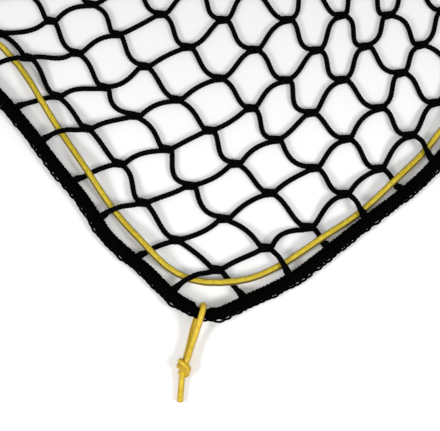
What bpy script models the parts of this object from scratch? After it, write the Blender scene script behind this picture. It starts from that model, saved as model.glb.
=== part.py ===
"""Cargo net laid out flat: a knotless diamond-joint net hung square in a whipped rope border.

The net lies on the floor plane z = 0, +Z up, metres. Its centre is at the origin. Columns of
joints count along +X and rows along +Y. An address (a, b) is a place in the net, counted in
columns and rows from the joint at the (-X, -Y) corner, and plan() turns it into a place on
the floor. A yellow line weaves over and under each bar that runs to the border, and a short
tie is knotted round the border at each corner.
"""
import math

import bmesh
import bpy
from mathutils import Matrix, Vector, geometry

# Net: how many joints, how far apart, and how the rows sag and the columns lean as laid out.
COLUMNS = 12
ROWS = 14
STEP_X = 0.0441
STEP_Y = 0.0460
SAG_AT_FIRST_ROW = 0.0325  # how far the lowest place of the first row hangs under its ends
SAG_GAIN = 0.0055          # what each row adds to that
SAG_LOSS = 0.00042         # what the square of the row takes from it again
SAG_LOWEST = 4.0           # column where a row is lowest
SAG_RETURN = 6.0           # columns it takes to come back up
LEAN = 0.030               # how far the columns wander to +X
LEAN_ROWS = 19.0           # rows for one such wander and back
PULL = 0.0060              # how far the first column is drawn in, most at row PULL_ROW
PULL_ROW = 5.0
PULL_ROWS = 3.5
PULL_COLUMNS = 2.0

# Twine and joint. The strands part sooner on a joint's +X side than on its -X side.
TWINE = 0.0048
EAST_TIP = 0.0068
EAST_WAIST = 0.0034
WEST_TIP = 0.0078
WEST_WAIST = 0.0046
JOINT_HALF_WIDTH = 0.0047
JOINT_HEIGHT = 0.0052
EAST_LEAVE = (0.66, 0.75)  # a bar leaves a joint's +X side in this direction, along and across
WEST_LEAVE = (0.90, 0.43)  # and its -X side in this one
BAR_CURL = 0.34            # reach of a bar's end tangents, as a share of its length
MIDDLE_SHIFT = 4 / 3       # a curve's middle moves by 1 when both inner points move by this
BAR_STATIONS = (1 / 3, 2 / 3)
STATION_REACH = 0.05       # a bar's heading at a station is taken over this much either way
WEST_BAR_DROP = 0.12       # a bar to the -X side ends this much further to -Y, in rows
WEST_BAR_DROP_UNDER = 0.22  # the same where it passes under the line
SOUTH_BAR_SHIFT = 0.10     # a bar to the -Y side ends this much further to -X, in columns
JOINT_TURN = 5.0           # degrees that a joint is turned towards the run of its row
EDGE_LIFT = 0.0024         # an outer joint whose bar climbs over the line is lifted this much
CORNER_LIFT = 0.0010       # the same at the net's corners

# How far each joint lies off the even net towards +X and +Y, in millimetres, a row of the net to
# a line and a column to a number. These tables and the next repeat over the rest of the net.
DRIFT_X = [
    (1, 2, 0, 2, 0, 1),
    (-5, -4, -1, 2, 1, 3, 2),
    (-4, -5, -4, -4, -4, -1, -2),
    (3, 1, 0, 0, 1, 2, 4),
    (-1, -1, -3, -2, 0, 3),
    (-3, -6, -4, -4, -2),
    (2, -3, -3, -1, 1),
    (0, 1, -1, 0),
]
DRIFT_Y = [
    (0, -2, -4, 1, -1, -1),
    (0, 1, 2, -2, 0, -2, 2),
    (1, 2, 2, 1, 0, 1, 3),
    (0, 0, 0, -2, -1, -2, 0),
    (1, 1, 1, -2, 0, -2),
    (2, -1, 4, 0, 1),
    (5, 0, 4, 0, 1),
    (0, -1, 1, -1),
]

# How far the bar after each joint hangs to the left of its run, in millimetres, laid out alike.
SLACK_NORTHWARDS = [
    (-3, -5, -2, 0, -1, 0, -1),
    (-1, 4, -2, 4, 0, 1, 3, -6),
    (-3, 4, 2, 1, 4, 1, -1),
    (-2, -5, -4, -2, -1, 2),
    (-3, 5, -1, 1, 2, -1),
    (-2, -3, 2, -1, 1, 2),
    (-3, 1, -5, 1, 3),
]
SLACK_EASTWARDS = [
    (-1, 4, 1, 1, 1, -1),
    (-4, 1, 0, 1, 2, -3, 0),
    (-2, -4, 2, -2, 1, -1, -5),
    (2, -1, -3, 2, -2, 0),
    (0, 2, 1, -1, 1, -2),
    (2, -5, 0, -3, 1),
    (-4, 2, -2, 1, 2),
    (-6, 3, -1, 2),
]

# Border rope: an eight-sided section with a flat underside. A dip draws a side in towards the
# joints, or lets it out: by how much at most, at which row or column, and over how many either
# way.
BORDER_MARGIN_X = 1.03     # from the last joints to the rope's centre, in columns
BORDER_MARGIN_Y = 0.885    # the same in rows
BORDER_WEST_DIPS = [(0.07, 4.2, 3.5), (0.045, 2.5, 0.9), (-0.055, 1.4, 0.8), (0.03, 0.4, 0.8)]
BORDER_SOUTH_DIPS = [(0.115, 2.7, 2.0), (0.025, 0.1, 0.6), (-0.015, 0.8, 0.6)]
BORDER_HALF_WIDTH = 0.0060
BORDER_HALF_HEIGHT = 0.0055
BORDER_SIDES = 8
BORDER_ARC_STEPS = 8

# Yellow line.
LINE_MARGIN_X = 0.69
LINE_MARGIN_Y = 0.50
LINE_WEST_DIPS = [(0.31, 6.5, 6.5), (0.17, 6.4, 1.9)]
LINE_RADIUS = 0.0030
LINE_SIDES = 8
LINE_LOW = 0.0032          # centre height under a bar
LINE_HIGH = 0.0083         # centre height over a bar
LINE_STEP = 0.0155
LINE_ARC_STEPS = 8
LINE_PARTS = 4             # cuts in each half column or half row of the line
BAR_OVER_LINE = 0.0068     # underside of a bar where it passes over the line
CROSSING_HALF = 0.0042     # half the level stretch of a bar at the line
CROSSING_NEAR = 0.06       # the line is searched for a crossing this far round a bar's middle
CROSSING_SAMPLES = 48
LONG_LEAD = 0.34           # a longer share of a bar ahead of the line gets one section more
LEAD_RISE = 0.4            # share of the climb that this section has made

# Corner tie: a loop round the border, a knot and one tail.
TIE_RADIUS = 0.0025
TIE_SIDES = 8
TIE_LIFT = 0.0058          # the border rises this much where the tie passes under it
TIE_LEVEL = 0.008          # half the lifted stretch that is level
TIE_REACH = 0.040          # half the whole lifted stretch
TIE_PINCH = 0.0014         # the loop squeezes the border's half height by this much
TIE_WAIST = 0.0019         # and its half width by this much, all of it from the inner side
WAIST_LEVEL = 0.0060       # half the stretch that is squeezed in width
WAIST_REACH = 0.0105       # the same with its slopes
KNOT_START = 0.0430
KNOT_LENGTH = 0.0165
KNOT_MIDDLE = 0.0056       # height of the knot's middle
KNOT_BITE = 0.004          # how far the tail reaches into the knot
TAIL_LENGTH = 0.022
TAIL_STEPS = 4

GAP = 0.0005               # clearance between touching pieces

# One row for each corner: address signs, the border's corner radius in columns and in rows, the
# line's corner radius in both, how far along the border from the corner the tie sits, the tie's
# turn from square to the border, and its tail's turn from that, both in degrees.
CORNERS = [
    # side_x, side_y, border_columns, border_rows, line_radius, tie_along, tie_turn, tail_turn
    (-1, -1, 0.42, 0.80, 1.20, -0.0035, 3.5, 12.0),
    (+1, -1, 0.45, 0.45, 0.70, 0.0000, 4.0, 18.0),
    (+1, +1, 0.45, 0.45, 0.95, 0.0000, -5.0, -16.0),
    (-1, +1, 0.45, 0.45, 0.70, 0.0000, 6.0, 14.0),
]

# The tie's route from its knot over the border, down inside it, back under it to the knot.
# out: distance outside the rope's centre. side: offset across. height: centre above floor.
TIE_LOOP = [
    # out, side, height
    (0.0465, 0.0010, 0.0079),
    (0.0400, 0.0012, 0.0081),
    (0.0320, 0.0012, 0.0082),
    (0.0245, 0.0016, 0.0089),
    (0.0167, 0.0022, 0.0115),
    (0.0101, 0.0026, 0.0149),
    (0.0047, 0.0027, 0.0171),
    (-0.0001, 0.0026, 0.0171),
    (-0.0036, 0.0019, 0.0148),
    (-0.0056, 0.0009, 0.0108),
    (-0.0051, -0.0003, 0.0066),
    (-0.0021, -0.0014, 0.0034),
    (0.0029, -0.0022, 0.0028),
    (0.0160, -0.0024, 0.0028),
    (0.0300, -0.0014, 0.0028),
    (0.0390, -0.0012, 0.0028),
    (0.0465, -0.0010, 0.0029),
]
KNOT_RINGS = [
    # share of length, radius
    (0.00, 0.0034),
    (0.16, 0.0060),
    (0.36, 0.0052),
    (0.54, 0.0064),
    (0.72, 0.0051),
    (0.88, 0.0056),
    (1.00, 0.0032),
]
KNOT_SLANT = 0.0022        # the knot's rings lean, as its turns do
KNOT_FLATTEN = 0.86        # height of the knot as a share of its width
KNOT_SIDES = 8

FIRST, LAST_COLUMN, LAST_ROW = 0, COLUMNS - 1, ROWS - 1


def row_bow(a):
    """Share of the full sag at column a: a bowl up to the lowest column, then a slow return."""
    if a < SAG_LOWEST:
        return 1.0 - ((a - SAG_LOWEST) / SAG_LOWEST) ** 2
    if a < SAG_LOWEST + SAG_RETURN:
        return 0.5 + 0.5 * math.cos(math.pi * (a - SAG_LOWEST) / SAG_RETURN)
    return 0.0


def plan(a, b):
    """Place on the floor of address (a, b)."""
    lean = LEAN * (1.0 - math.cos(2.0 * math.pi * b / LEAN_ROWS)) / 2.0
    if a < PULL_COLUMNS and abs(b - PULL_ROW) < PULL_ROWS:
        near = min(1.0, 1.0 - a / PULL_COLUMNS)
        lean += PULL * near * math.cos(math.pi / 2 * (b - PULL_ROW) / PULL_ROWS) ** 2
    depth = SAG_AT_FIRST_ROW + SAG_GAIN * b - SAG_LOSS * b * b
    return Vector((STEP_X * a + lean, STEP_Y * b - depth * row_bow(a)))


def left_of(direction):
    """The plan direction a quarter turn to the left."""
    return Vector((-direction.y, direction.x))


def smooth(t):
    """Ease from 0 to 1."""
    t = min(max(t, 0.0), 1.0)
    return t * t * (3.0 - 2.0 * t)


def bezier(p0, p1, p2, p3, t):
    """Point of a cubic curve."""
    s = 1.0 - t
    return p0 * s ** 3 + p1 * 3 * s * s * t + p2 * 3 * s * t * t + p3 * t ** 3


def drawn_in(place, dips):
    """How far a side is drawn in at a row or column, in columns or rows."""
    return sum(depth * math.cos(math.pi / 2 * min(max((place - middle) / reach, -1.0), 1.0)) ** 2
               for depth, middle, reach in dips)


def listed(table, a, b):
    """A table's value for joint (a, b), in metres."""
    row = table[b % len(table)]
    return row[a % len(row)] / 1000.0


# ---------------------------------------------------------------- closed loops round the net
def loop_addresses(margin_x, margin_y, radii, west_dips, south_dips, arc_steps):
    """Addresses of a rounded loop outside the joints, anticlockwise from the first joint's side.

    radii gives each corner's radius in columns and in rows.
    """
    low_a, high_a = FIRST - margin_x, LAST_COLUMN + margin_x
    low_b, high_b = FIRST - margin_y, LAST_ROW + margin_y
    half_rows = [k / 2 for k in range(2 * LAST_ROW + 1)]
    half_columns = [k / 2 for k in range(2 * LAST_COLUMN + 1)]

    def arc(corner_a, corner_b, side_a, side_b, radius, start):
        centre_a, centre_b = corner_a - side_a * radius[0], corner_b - side_b * radius[1]
        turns = [start + math.pi / 2 * k / arc_steps for k in range(arc_steps + 1)]
        return [(centre_a + radius[0] * math.cos(u), centre_b + radius[1] * math.sin(u))
                for u in turns]

    def clear(values, before, after):
        return [v for v in values if before < v < after]

    ws, es, en, wn = radii
    path = arc(low_a, low_b, -1, -1, ws, math.pi)
    path += [(a, low_b) for a in clear(half_columns, low_a + ws[0], high_a - es[0])]
    path += arc(high_a, low_b, +1, -1, es, 1.5 * math.pi)
    path += [(high_a, b) for b in clear(half_rows, low_b + es[1], high_b - en[1])]
    path += arc(high_a, high_b, +1, +1, en, 0.0)
    path += [(a, high_b) for a in clear(half_columns, low_a + wn[0], high_a - en[0])][::-1]
    path += arc(low_a, high_b, -1, +1, wn, 0.5 * math.pi)
    path += [(low_a, b) for b in clear(half_rows, low_b + ws[1], high_b - wn[1])][::-1]
    return [(a + drawn_in(b, west_dips) if a < FIRST else a,
             b + drawn_in(a, south_dips) if b < FIRST else b) for a, b in path]


class Loop:
    """A closed plan path with distances along it."""

    def __init__(self, points):
        self.points = points
        self.starts = [0.0]
        for here, there in zip(points, points[1:] + points[:1]):
            self.starts.append(self.starts[-1] + (there - here).length)
        self.length = self.starts[-1]

    def at(self, distance):
        """Point at a distance along the path."""
        distance %= self.length
        for k, here in enumerate(self.points):
            if distance <= self.starts[k + 1]:
                there = self.points[(k + 1) % len(self.points)]
                span = self.starts[k + 1] - self.starts[k]
                return here.lerp(there, (distance - self.starts[k]) / span)
        return self.points[0].copy()

    def heading(self, distance, reach=0.004):
        """Direction of travel at a distance along the path, taken over reach either way."""
        return (self.at(distance + reach) - self.at(distance - reach)).normalized()

    def nearest(self, point):
        """Distance along the path of its vertex nearest to a point."""
        k = min(range(len(self.points)), key=lambda n: (self.points[n] - point).length_squared)
        return self.starts[k]

    def foot(self, place):
        """The path's point nearest to a place, and the direction of travel there."""
        feet = []
        for here, there in zip(self.points, self.points[1:] + self.points[:1]):
            run = there - here
            share = min(max((place - here).dot(run) / run.length_squared, 0.0), 1.0)
            feet.append((here + run * share, run.normalized()))
        return min(feet, key=lambda foot: (foot[0] - place).length_squared)

    def apart(self, one, other):
        """The shorter way between two distances along the path."""
        way = abs(one - other) % self.length
        return min(way, self.length - way)


def fine_loop(addresses, parts):
    """A loop through addresses, with each stretch cut into parts and bent as the net is."""
    points = []
    for (a0, b0), (a1, b1) in zip(addresses, addresses[1:] + addresses[:1]):
        for k in range(parts):
            t = k / parts
            points.append(plan(a0 + (a1 - a0) * t, b0 + (b1 - b0) * t))
    return Loop(points)


def corner_place(loop, corner):
    """Distance along a loop of its point nearest to a corner of the net."""
    side_x, side_y = corner[0], corner[1]
    a = LAST_COLUMN + BORDER_MARGIN_X if side_x > 0 else -BORDER_MARGIN_X
    b = LAST_ROW + BORDER_MARGIN_Y if side_y > 0 else -BORDER_MARGIN_Y
    return loop.nearest(plan(a, b))


# ---------------------------------------------------------------- border bars and the weave
class EdgeBar:
    """A bar from a first joint to the border, which passes over or under the line.

    Its border address is that of its end where the border has no dip.
    """

    def __init__(self, address, port, border_address, over):
        self.address = address
        self.port = port
        self.border_address = border_address
        self.over = over


def edge_bars():
    """The bars that run to the border, anticlockwise, with the line over and under by turns."""
    far_x, far_y = LAST_COLUMN + BORDER_MARGIN_X, LAST_ROW + BORDER_MARGIN_Y
    bars = [EdgeBar((a, FIRST), "south", (a - SOUTH_BAR_SHIFT, -BORDER_MARGIN_Y), a % 2 == 1)
            for a in range(COLUMNS)]
    bars += [EdgeBar((LAST_COLUMN, b), "east", (far_x, b), b % 2 == 1) for b in range(ROWS)]
    bars += [EdgeBar((a, LAST_ROW), "north", (a, far_y), a % 2 == 0)
             for a in reversed(range(COLUMNS))]
    for b in reversed(range(ROWS)):
        over = b % 2 == 0
        low = b - (WEST_BAR_DROP if over else WEST_BAR_DROP_UNDER)
        bars.append(EdgeBar((FIRST, b), "west", (-BORDER_MARGIN_X, low), over))
    return bars


def joint_lift(a, b, climbing):
    """Height of a joint's underside: the first joints are lifted where a bar climbs."""
    if (a, b) not in climbing:
        return 0.0
    corner = a in (FIRST, LAST_COLUMN) and b in (FIRST, LAST_ROW)
    return CORNER_LIFT if corner else EDGE_LIFT


class Joint:
    """A joint: two strands side by side, a six-cornered block with four ports for bars."""

    # port name: left corner, right corner, seen outwards
    PORTS = {
        "east": ("north_east", "tip_east"),
        "north": ("tip_west", "north_west"),
        "south": ("tip_east", "south_east"),
        "west": ("south_west", "tip_west"),
    }

    def __init__(self, mesh, a, b, lift):
        along = plan(a + 1, b) + plan(a, b - 1) - plan(a - 1, b) - plan(a, b + 1)
        along.rotate(Matrix.Rotation(math.radians(JOINT_TURN), 2))
        self.along = along.normalized()
        self.across = left_of(self.along)
        self.centre = plan(a, b) + Vector((listed(DRIFT_X, a, b), listed(DRIFT_Y, a, b)))
        self.lift = lift
        places = {
            "tip_east": (EAST_TIP, 0.0),
            "north_east": (EAST_WAIST, JOINT_HALF_WIDTH),
            "north_west": (-WEST_WAIST, JOINT_HALF_WIDTH),
            "tip_west": (-WEST_TIP, 0.0),
            "south_west": (-WEST_WAIST, -JOINT_HALF_WIDTH),
            "south_east": (EAST_WAIST, -JOINT_HALF_WIDTH),
        }
        self.low, self.high = {}, {}
        for name, (x, y) in places.items():
            spot = self.centre + self.along * x + self.across * y
            self.low[name] = mesh.verts.new((spot.x, spot.y, lift))
            self.high[name] = mesh.verts.new((spot.x, spot.y, lift + JOINT_HEIGHT))
        names = list(places)
        mesh.faces.new([self.high[n] for n in names])
        mesh.faces.new([self.low[n] for n in reversed(names)])
        for left, right in (("north_east", "north_west"), ("south_west", "south_east")):
            mesh.faces.new((self.low[left], self.low[right], self.high[right], self.high[left]))

    def ring(self, port, inwards=False):
        """The port's four corners: left low, right low, right high, left high along the travel."""
        left, right = self.PORTS[port]
        if inwards:
            left, right = right, left
        return [self.low[left], self.low[right], self.high[right], self.high[left]]

    def mouth(self, port):
        """Centre of a port on the plan, and the direction in which its strand leaves."""
        left, right = self.PORTS[port]
        middle = (self.low[left].co.xy + self.low[right].co.xy) / 2
        on_east = port in ("east", "south")
        along, across = EAST_LEAVE if on_east else WEST_LEAVE
        side_along = 1.0 if on_east else -1.0
        side_across = 1.0 if port in ("east", "north") else -1.0
        leave = self.along * side_along * along + self.across * side_across * across
        return middle, leave.normalized()


def bar_ring(mesh, spot, heading, floor, half=TWINE / 2):
    """A square section of twine at a plan spot, in Joint.ring order."""
    side = left_of(heading) * half
    left, right = spot + side, spot - side
    return [mesh.verts.new((p.x, p.y, floor + rise))
            for p, rise in ((left, 0.0), (right, 0.0), (right, TWINE), (left, TWINE))]


def join_rings(mesh, rings):
    """Skin between neighbouring four-cornered rings."""
    for here, there in zip(rings, rings[1:]):
        for k in range(4):
            n = (k + 1) % 4
            mesh.faces.new((here[k], there[k], there[n], here[n]))


def net_bar(mesh, start, port, end, end_port, hang):
    """A bar between two joints: an S-shaped length of twine that hangs to the left of its run."""
    p0, leave = start.mouth(port)
    p3, back = end.mouth(end_port)
    reach = (p3 - p0).length * BAR_CURL
    aside = left_of((p3 - p0).normalized()) * hang * MIDDLE_SHIFT
    p1, p2 = p0 + leave * reach + aside, p3 + back * reach + aside
    rings = [start.ring(port)]
    for t in BAR_STATIONS:
        spot = bezier(p0, p1, p2, p3, t)
        ahead = bezier(p0, p1, p2, p3, t + STATION_REACH)
        heading = ahead - bezier(p0, p1, p2, p3, t - STATION_REACH)
        floor = start.lift + (end.lift - start.lift) * smooth(t)
        rings.append(bar_ring(mesh, spot, heading.normalized(), floor))
    rings.append(end.ring(end_port, inwards=True))
    join_rings(mesh, rings)


def crossing(curve, loop):
    """Where a plan curve crosses a loop: the curve's t and the distance along the loop."""
    path = [curve(k / CROSSING_SAMPLES) for k in range(CROSSING_SAMPLES + 1)]
    middle = path[CROSSING_SAMPLES // 2]
    near = [k for k, p in enumerate(loop.points) if (p - middle).length < CROSSING_NEAR]
    for s in range(CROSSING_SAMPLES):
        for k in near:
            there = loop.points[(k + 1) % len(loop.points)]
            hit = geometry.intersect_line_line_2d(path[s], path[s + 1], loop.points[k], there)
            if hit is not None:
                part = (hit - path[s]).length / (path[s + 1] - path[s]).length
                along = loop.starts[k] + (hit - loop.points[k]).length
                return (s + part) / CROSSING_SAMPLES, along
    raise ValueError("a border bar misses the line")


def border_bar(mesh, joint, bar, border_loop, line_loop):
    """A bar from a joint over or under the line to the border, and its place along the line."""
    rope, run = border_loop.foot(plan(*bar.border_address))
    inwards = left_of(run)
    p3 = rope + inwards * (BORDER_HALF_WIDTH + GAP)
    p0, leave = joint.mouth(bar.port)
    reach = (p3 - p0).length * BAR_CURL
    p1, p2 = p0 + leave * reach, p3 + inwards * reach

    def curve(t):
        return bezier(p0, p1, p2, p3, t)

    t_line, along_line = crossing(curve, line_loop)
    half = CROSSING_HALF / (p3 - p0).length
    level = BAR_OVER_LINE if bar.over else 0.0
    end_floor = BORDER_HALF_HEIGHT - TWINE / 2
    stations = [(t_line - half, level), (t_line + half, level)]
    if t_line - half > LONG_LEAD:
        climbed = joint.lift + (level - joint.lift) * LEAD_RISE
        stations.insert(0, ((t_line - half) / 2, climbed))
    rings = [joint.ring(bar.port)]
    for t, floor in stations:
        heading = (curve(t + STATION_REACH) - curve(t - STATION_REACH)).normalized()
        rings.append(bar_ring(mesh, curve(t), heading, floor))
    rings.append(bar_ring(mesh, p3, -inwards, end_floor))
    join_rings(mesh, rings)
    left_low, right_low, right_high, left_high = rings[-1]
    mesh.faces.new((right_low, left_low, left_high, right_high))
    return along_line


# ---------------------------------------------------------------- sweeps
def swept_tube(mesh, path, sides, radii, closed, across=None):
    """Skin a tube through 3-D points.

    radii gives the half width and half height of ring k. The width lies level, or as near to
    the direction across as the path lets it.
    """
    count = len(path)
    rings = []
    for k, spot in enumerate(path):
        before = path[k - 1] if closed or k else spot
        after = path[(k + 1) % count] if closed or k < count - 1 else spot
        ahead = (after - before).normalized()
        side = Vector((-ahead.y, ahead.x, 0.0)) if across is None else across
        side = (side - ahead * side.dot(ahead)).normalized()
        up = ahead.cross(side)
        wide, high = radii(k)
        ring = []
        for n in range(sides):
            turn = 2 * math.pi * (n + 0.5) / sides
            ring.append(mesh.verts.new(spot + side * wide * math.cos(turn) + up * high * math.sin(turn)))
        rings.append(ring)
    pairs = list(zip(rings, rings[1:])) + ([(rings[-1], rings[0])] if closed else [])
    for here, there in pairs:
        for k in range(sides):
            n = (k + 1) % sides
            mesh.faces.new((here[k], here[n], there[n], there[k]))
    if not closed:
        mesh.faces.new(list(reversed(rings[0])))
        mesh.faces.new(rings[-1])


def finish_mesh(mesh, name):
    """Face the mesh outwards and hand it over as mesh data."""
    bmesh.ops.recalc_face_normals(mesh, faces=mesh.faces)
    data = bpy.data.meshes.new(name)
    mesh.to_mesh(data)
    mesh.free()
    return data


# ---------------------------------------------------------------- pieces
def build_mesh_panel(border_loop, line_loop):
    """The knotless net, and where along the line each of its border bars crosses."""
    mesh = bmesh.new()
    bars = edge_bars()
    climbing = {bar.address for bar in bars if bar.over}
    joints = {}
    for a in range(COLUMNS):
        for b in range(ROWS):
            joints[a, b] = Joint(mesh, a, b, joint_lift(a, b, climbing))
    for (a, b), joint in joints.items():
        if a < LAST_COLUMN:
            net_bar(mesh, joint, "east", joints[a + 1, b], "west", listed(SLACK_EASTWARDS, a, b))
        if b < LAST_ROW:
            net_bar(mesh, joint, "north", joints[a, b + 1], "south", listed(SLACK_NORTHWARDS, a, b))
    crossings = [(border_bar(mesh, joints[bar.address], bar, border_loop, line_loop), bar.over)
                 for bar in bars]
    return finish_mesh(mesh, "mesh_panel"), sorted(crossings)


def build_border(loop, tie_places):
    """The border rope, flat underneath, lifted and squeezed where a tie passes under it."""
    corner = math.cos(math.pi / BORDER_SIDES)
    path, radii = [], []
    for spot, start in zip(loop.points, loop.starts):
        away = min(loop.apart(start, place) for place in tie_places)
        lifted = smooth((TIE_REACH - away) / (TIE_REACH - TIE_LEVEL))
        waist = TIE_WAIST * smooth((WAIST_REACH - away) / (WAIST_REACH - WAIST_LEVEL))
        half_height = BORDER_HALF_HEIGHT - TIE_PINCH * lifted
        radii.append(((BORDER_HALF_WIDTH - waist) / corner, half_height / corner))
        middle = spot - left_of(loop.heading(start)) * waist
        path.append(Vector((middle.x, middle.y, half_height + TIE_LIFT * lifted)))
    mesh = bmesh.new()
    swept_tube(mesh, path, BORDER_SIDES, lambda k: radii[k], closed=True)
    return finish_mesh(mesh, "border_rope")


def build_line(loop, crossings):
    """The yellow line, low under each bar that passes over it and high over the next."""
    path = []
    for k, (start, over) in enumerate(crossings):
        end, next_over = crossings[(k + 1) % len(crossings)]
        span = (end - start) % loop.length
        parts = max(3, math.ceil(span / LINE_STEP))
        low_to_high = (LINE_LOW if over else LINE_HIGH, LINE_LOW if next_over else LINE_HIGH)
        for n in range(parts):
            spot = loop.at(start + span * n / parts)
            ease = 0.5 - 0.5 * math.cos(math.pi * n / parts)
            height = low_to_high[0] + (low_to_high[1] - low_to_high[0]) * ease
            path.append(Vector((spot.x, spot.y, height)))
    mesh = bmesh.new()
    swept_tube(mesh, path, LINE_SIDES, lambda k: (LINE_RADIUS, LINE_RADIUS), closed=True)
    return finish_mesh(mesh, "perimeter_line")


def build_tie(name, foot, out, tail_turn):
    """A corner tie: loop, knot and tail joined into one solid, square to the border."""
    out = Vector((out.x, out.y, 0.0))
    side = Vector((-out.y, out.x, 0.0))
    up = Vector((0.0, 0.0, 1.0))
    base = Vector((foot.x, foot.y, 0.0))

    def place(distance, offset, height):
        return base + out * distance + side * offset + up * height

    loop_mesh = bmesh.new()
    swept_tube(loop_mesh, [place(*row) for row in TIE_LOOP], TIE_SIDES,
               lambda k: (TIE_RADIUS, TIE_RADIUS), closed=False, across=side)
    knot_mesh = bmesh.new()
    knot_path = []
    for k, (share, _) in enumerate(KNOT_RINGS):
        lean = KNOT_SLANT * (k % 2 - 0.5) if 0 < k < len(KNOT_RINGS) - 1 else 0.0
        knot_path.append(place(KNOT_START + share * KNOT_LENGTH, lean, KNOT_MIDDLE))
    swept_tube(knot_mesh, knot_path, KNOT_SIDES,
               lambda k: (KNOT_RINGS[k][1], KNOT_RINGS[k][1] * KNOT_FLATTEN), closed=False,
               across=side)
    tail_mesh = bmesh.new()
    tail_path = []
    reach = KNOT_START + KNOT_LENGTH - KNOT_BITE
    turn = math.radians(tail_turn)
    for k in range(TAIL_STEPS + 1):
        share = k / TAIL_STEPS
        way = (TAIL_LENGTH + KNOT_BITE) * share
        height = KNOT_MIDDLE + (TIE_RADIUS + GAP - KNOT_MIDDLE) * smooth(2 * share)
        tail_path.append(place(reach + way * math.cos(turn), way * math.sin(turn), height))
    swept_tube(tail_mesh, tail_path, TIE_SIDES, lambda k: (TIE_RADIUS, TIE_RADIUS),
               closed=False, across=side)

    tie = bpy.data.objects.new(name, finish_mesh(loop_mesh, name))
    bpy.context.scene.collection.objects.link(tie)
    for other_mesh in (knot_mesh, tail_mesh):
        other = bpy.data.objects.new(name + "_joined", finish_mesh(other_mesh, name + "_joined"))
        bpy.context.scene.collection.objects.link(other)
        union = tie.modifiers.new("join", "BOOLEAN")
        union.operation = "UNION"
        union.object = other
        bake_modifiers(tie)
        bpy.data.objects.remove(other)
    return tie


def bake_modifiers(item):
    """Replace an object's mesh with its evaluated one."""
    bpy.context.view_layer.update()
    evaluated = item.evaluated_get(bpy.context.evaluated_depsgraph_get())
    data = bpy.data.meshes.new_from_object(evaluated)
    item.modifiers.clear()
    item.data = data


# ---------------------------------------------------------------- materials and assembly
def make_material(name, colour, roughness):
    """A plain finish for one piece."""
    material = bpy.data.materials.new(name)
    material.use_nodes = True
    shader = material.node_tree.nodes["Principled BSDF"]
    shader.inputs["Base Color"].default_value = (*colour, 1.0)
    shader.inputs["Roughness"].default_value = roughness
    shader.inputs["Metallic"].default_value = 0.0
    return material


def dress(item, material, datum, crease=35.0):
    """Give an object its finish, smooth shading and parent."""
    item.data.materials.clear()
    item.data.materials.append(material)
    item.data.shade_smooth()
    item.data.set_sharp_from_angle(angle=math.radians(crease))
    item.parent = datum


def add_object(name, data):
    """Link mesh data as a named object."""
    item = bpy.data.objects.new(name, data)
    bpy.context.scene.collection.objects.link(item)
    return item


def clear_scene():
    """Remove whatever the scene starts with."""
    for item in list(bpy.data.objects):
        bpy.data.objects.remove(item)


def main():
    clear_scene()
    border_radii = [(corner[2], corner[3]) for corner in CORNERS]
    line_radii = [(corner[4], corner[4]) for corner in CORNERS]
    border_loop = fine_loop(loop_addresses(BORDER_MARGIN_X, BORDER_MARGIN_Y, border_radii,
                                           BORDER_WEST_DIPS, BORDER_SOUTH_DIPS,
                                           BORDER_ARC_STEPS), 1)
    line_loop = fine_loop(loop_addresses(LINE_MARGIN_X, LINE_MARGIN_Y, line_radii,
                                         LINE_WEST_DIPS, [], LINE_ARC_STEPS), LINE_PARTS)
    tie_places = [corner_place(border_loop, corner) + corner[5] for corner in CORNERS]

    net_data, crossings = build_mesh_panel(border_loop, line_loop)
    net = add_object("mesh_panel", net_data)
    border = add_object("border_rope", build_border(border_loop, tie_places))
    line = add_object("perimeter_line", build_line(line_loop, crossings))

    extent = [border.data.vertices[k].co for k in range(len(border.data.vertices))]
    middle_x = (min(p.x for p in extent) + max(p.x for p in extent)) / 2
    middle_y = (min(p.y for p in extent) + max(p.y for p in extent)) / 2
    datum = bpy.data.objects.new("net_datum", None)
    bpy.context.scene.collection.objects.link(datum)
    datum.location = (-middle_x, -middle_y, 0.0)

    dress(net, make_material("black_twine", (0.012, 0.012, 0.014), 0.85), datum, crease=50.0)
    dress(border, make_material("black_rope", (0.010, 0.010, 0.012), 0.80), datum, crease=50.0)
    dress(line, make_material("yellow_line", (0.76, 0.60, 0.04), 0.45), datum)
    for place, corner in zip(tie_places, CORNERS):
        name = "corner_tie_%s%s" % ("e" if corner[0] > 0 else "w", "n" if corner[1] > 0 else "s")
        outwards = -left_of(border_loop.heading(place))
        outwards.rotate(Matrix.Rotation(math.radians(corner[6]), 2))
        tie = build_tie(name, border_loop.at(place), outwards, corner[7])
        dress(tie, make_material("amber_cord_" + name[-2:], (0.74, 0.47, 0.03), 0.55), datum)


main()
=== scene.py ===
"""Looks of a cargo net that lies flat on a pale floor.

The net is knotless netting of braided black twine, hung square in a rope that is overcast with
thread. A yellow line is woven round its rim and an amber tie is knotted round each corner.
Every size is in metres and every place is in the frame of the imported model.
"""
import logging
import math
from dataclasses import dataclass
from enum import Enum
from typing import Sequence

import bpy
import numpy as np
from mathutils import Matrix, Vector


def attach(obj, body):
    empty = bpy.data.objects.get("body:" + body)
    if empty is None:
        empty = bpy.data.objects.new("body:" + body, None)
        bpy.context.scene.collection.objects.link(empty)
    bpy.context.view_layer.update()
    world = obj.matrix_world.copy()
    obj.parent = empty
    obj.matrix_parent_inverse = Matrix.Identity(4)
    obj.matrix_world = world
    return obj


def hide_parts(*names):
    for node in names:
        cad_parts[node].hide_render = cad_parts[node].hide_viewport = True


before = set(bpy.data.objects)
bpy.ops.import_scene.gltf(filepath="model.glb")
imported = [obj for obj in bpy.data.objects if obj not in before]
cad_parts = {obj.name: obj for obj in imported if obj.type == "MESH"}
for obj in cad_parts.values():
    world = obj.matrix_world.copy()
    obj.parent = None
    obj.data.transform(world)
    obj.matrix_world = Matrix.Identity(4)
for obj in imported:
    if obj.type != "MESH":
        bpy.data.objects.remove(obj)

LOG = logging.getLogger("cargo_net")
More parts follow.
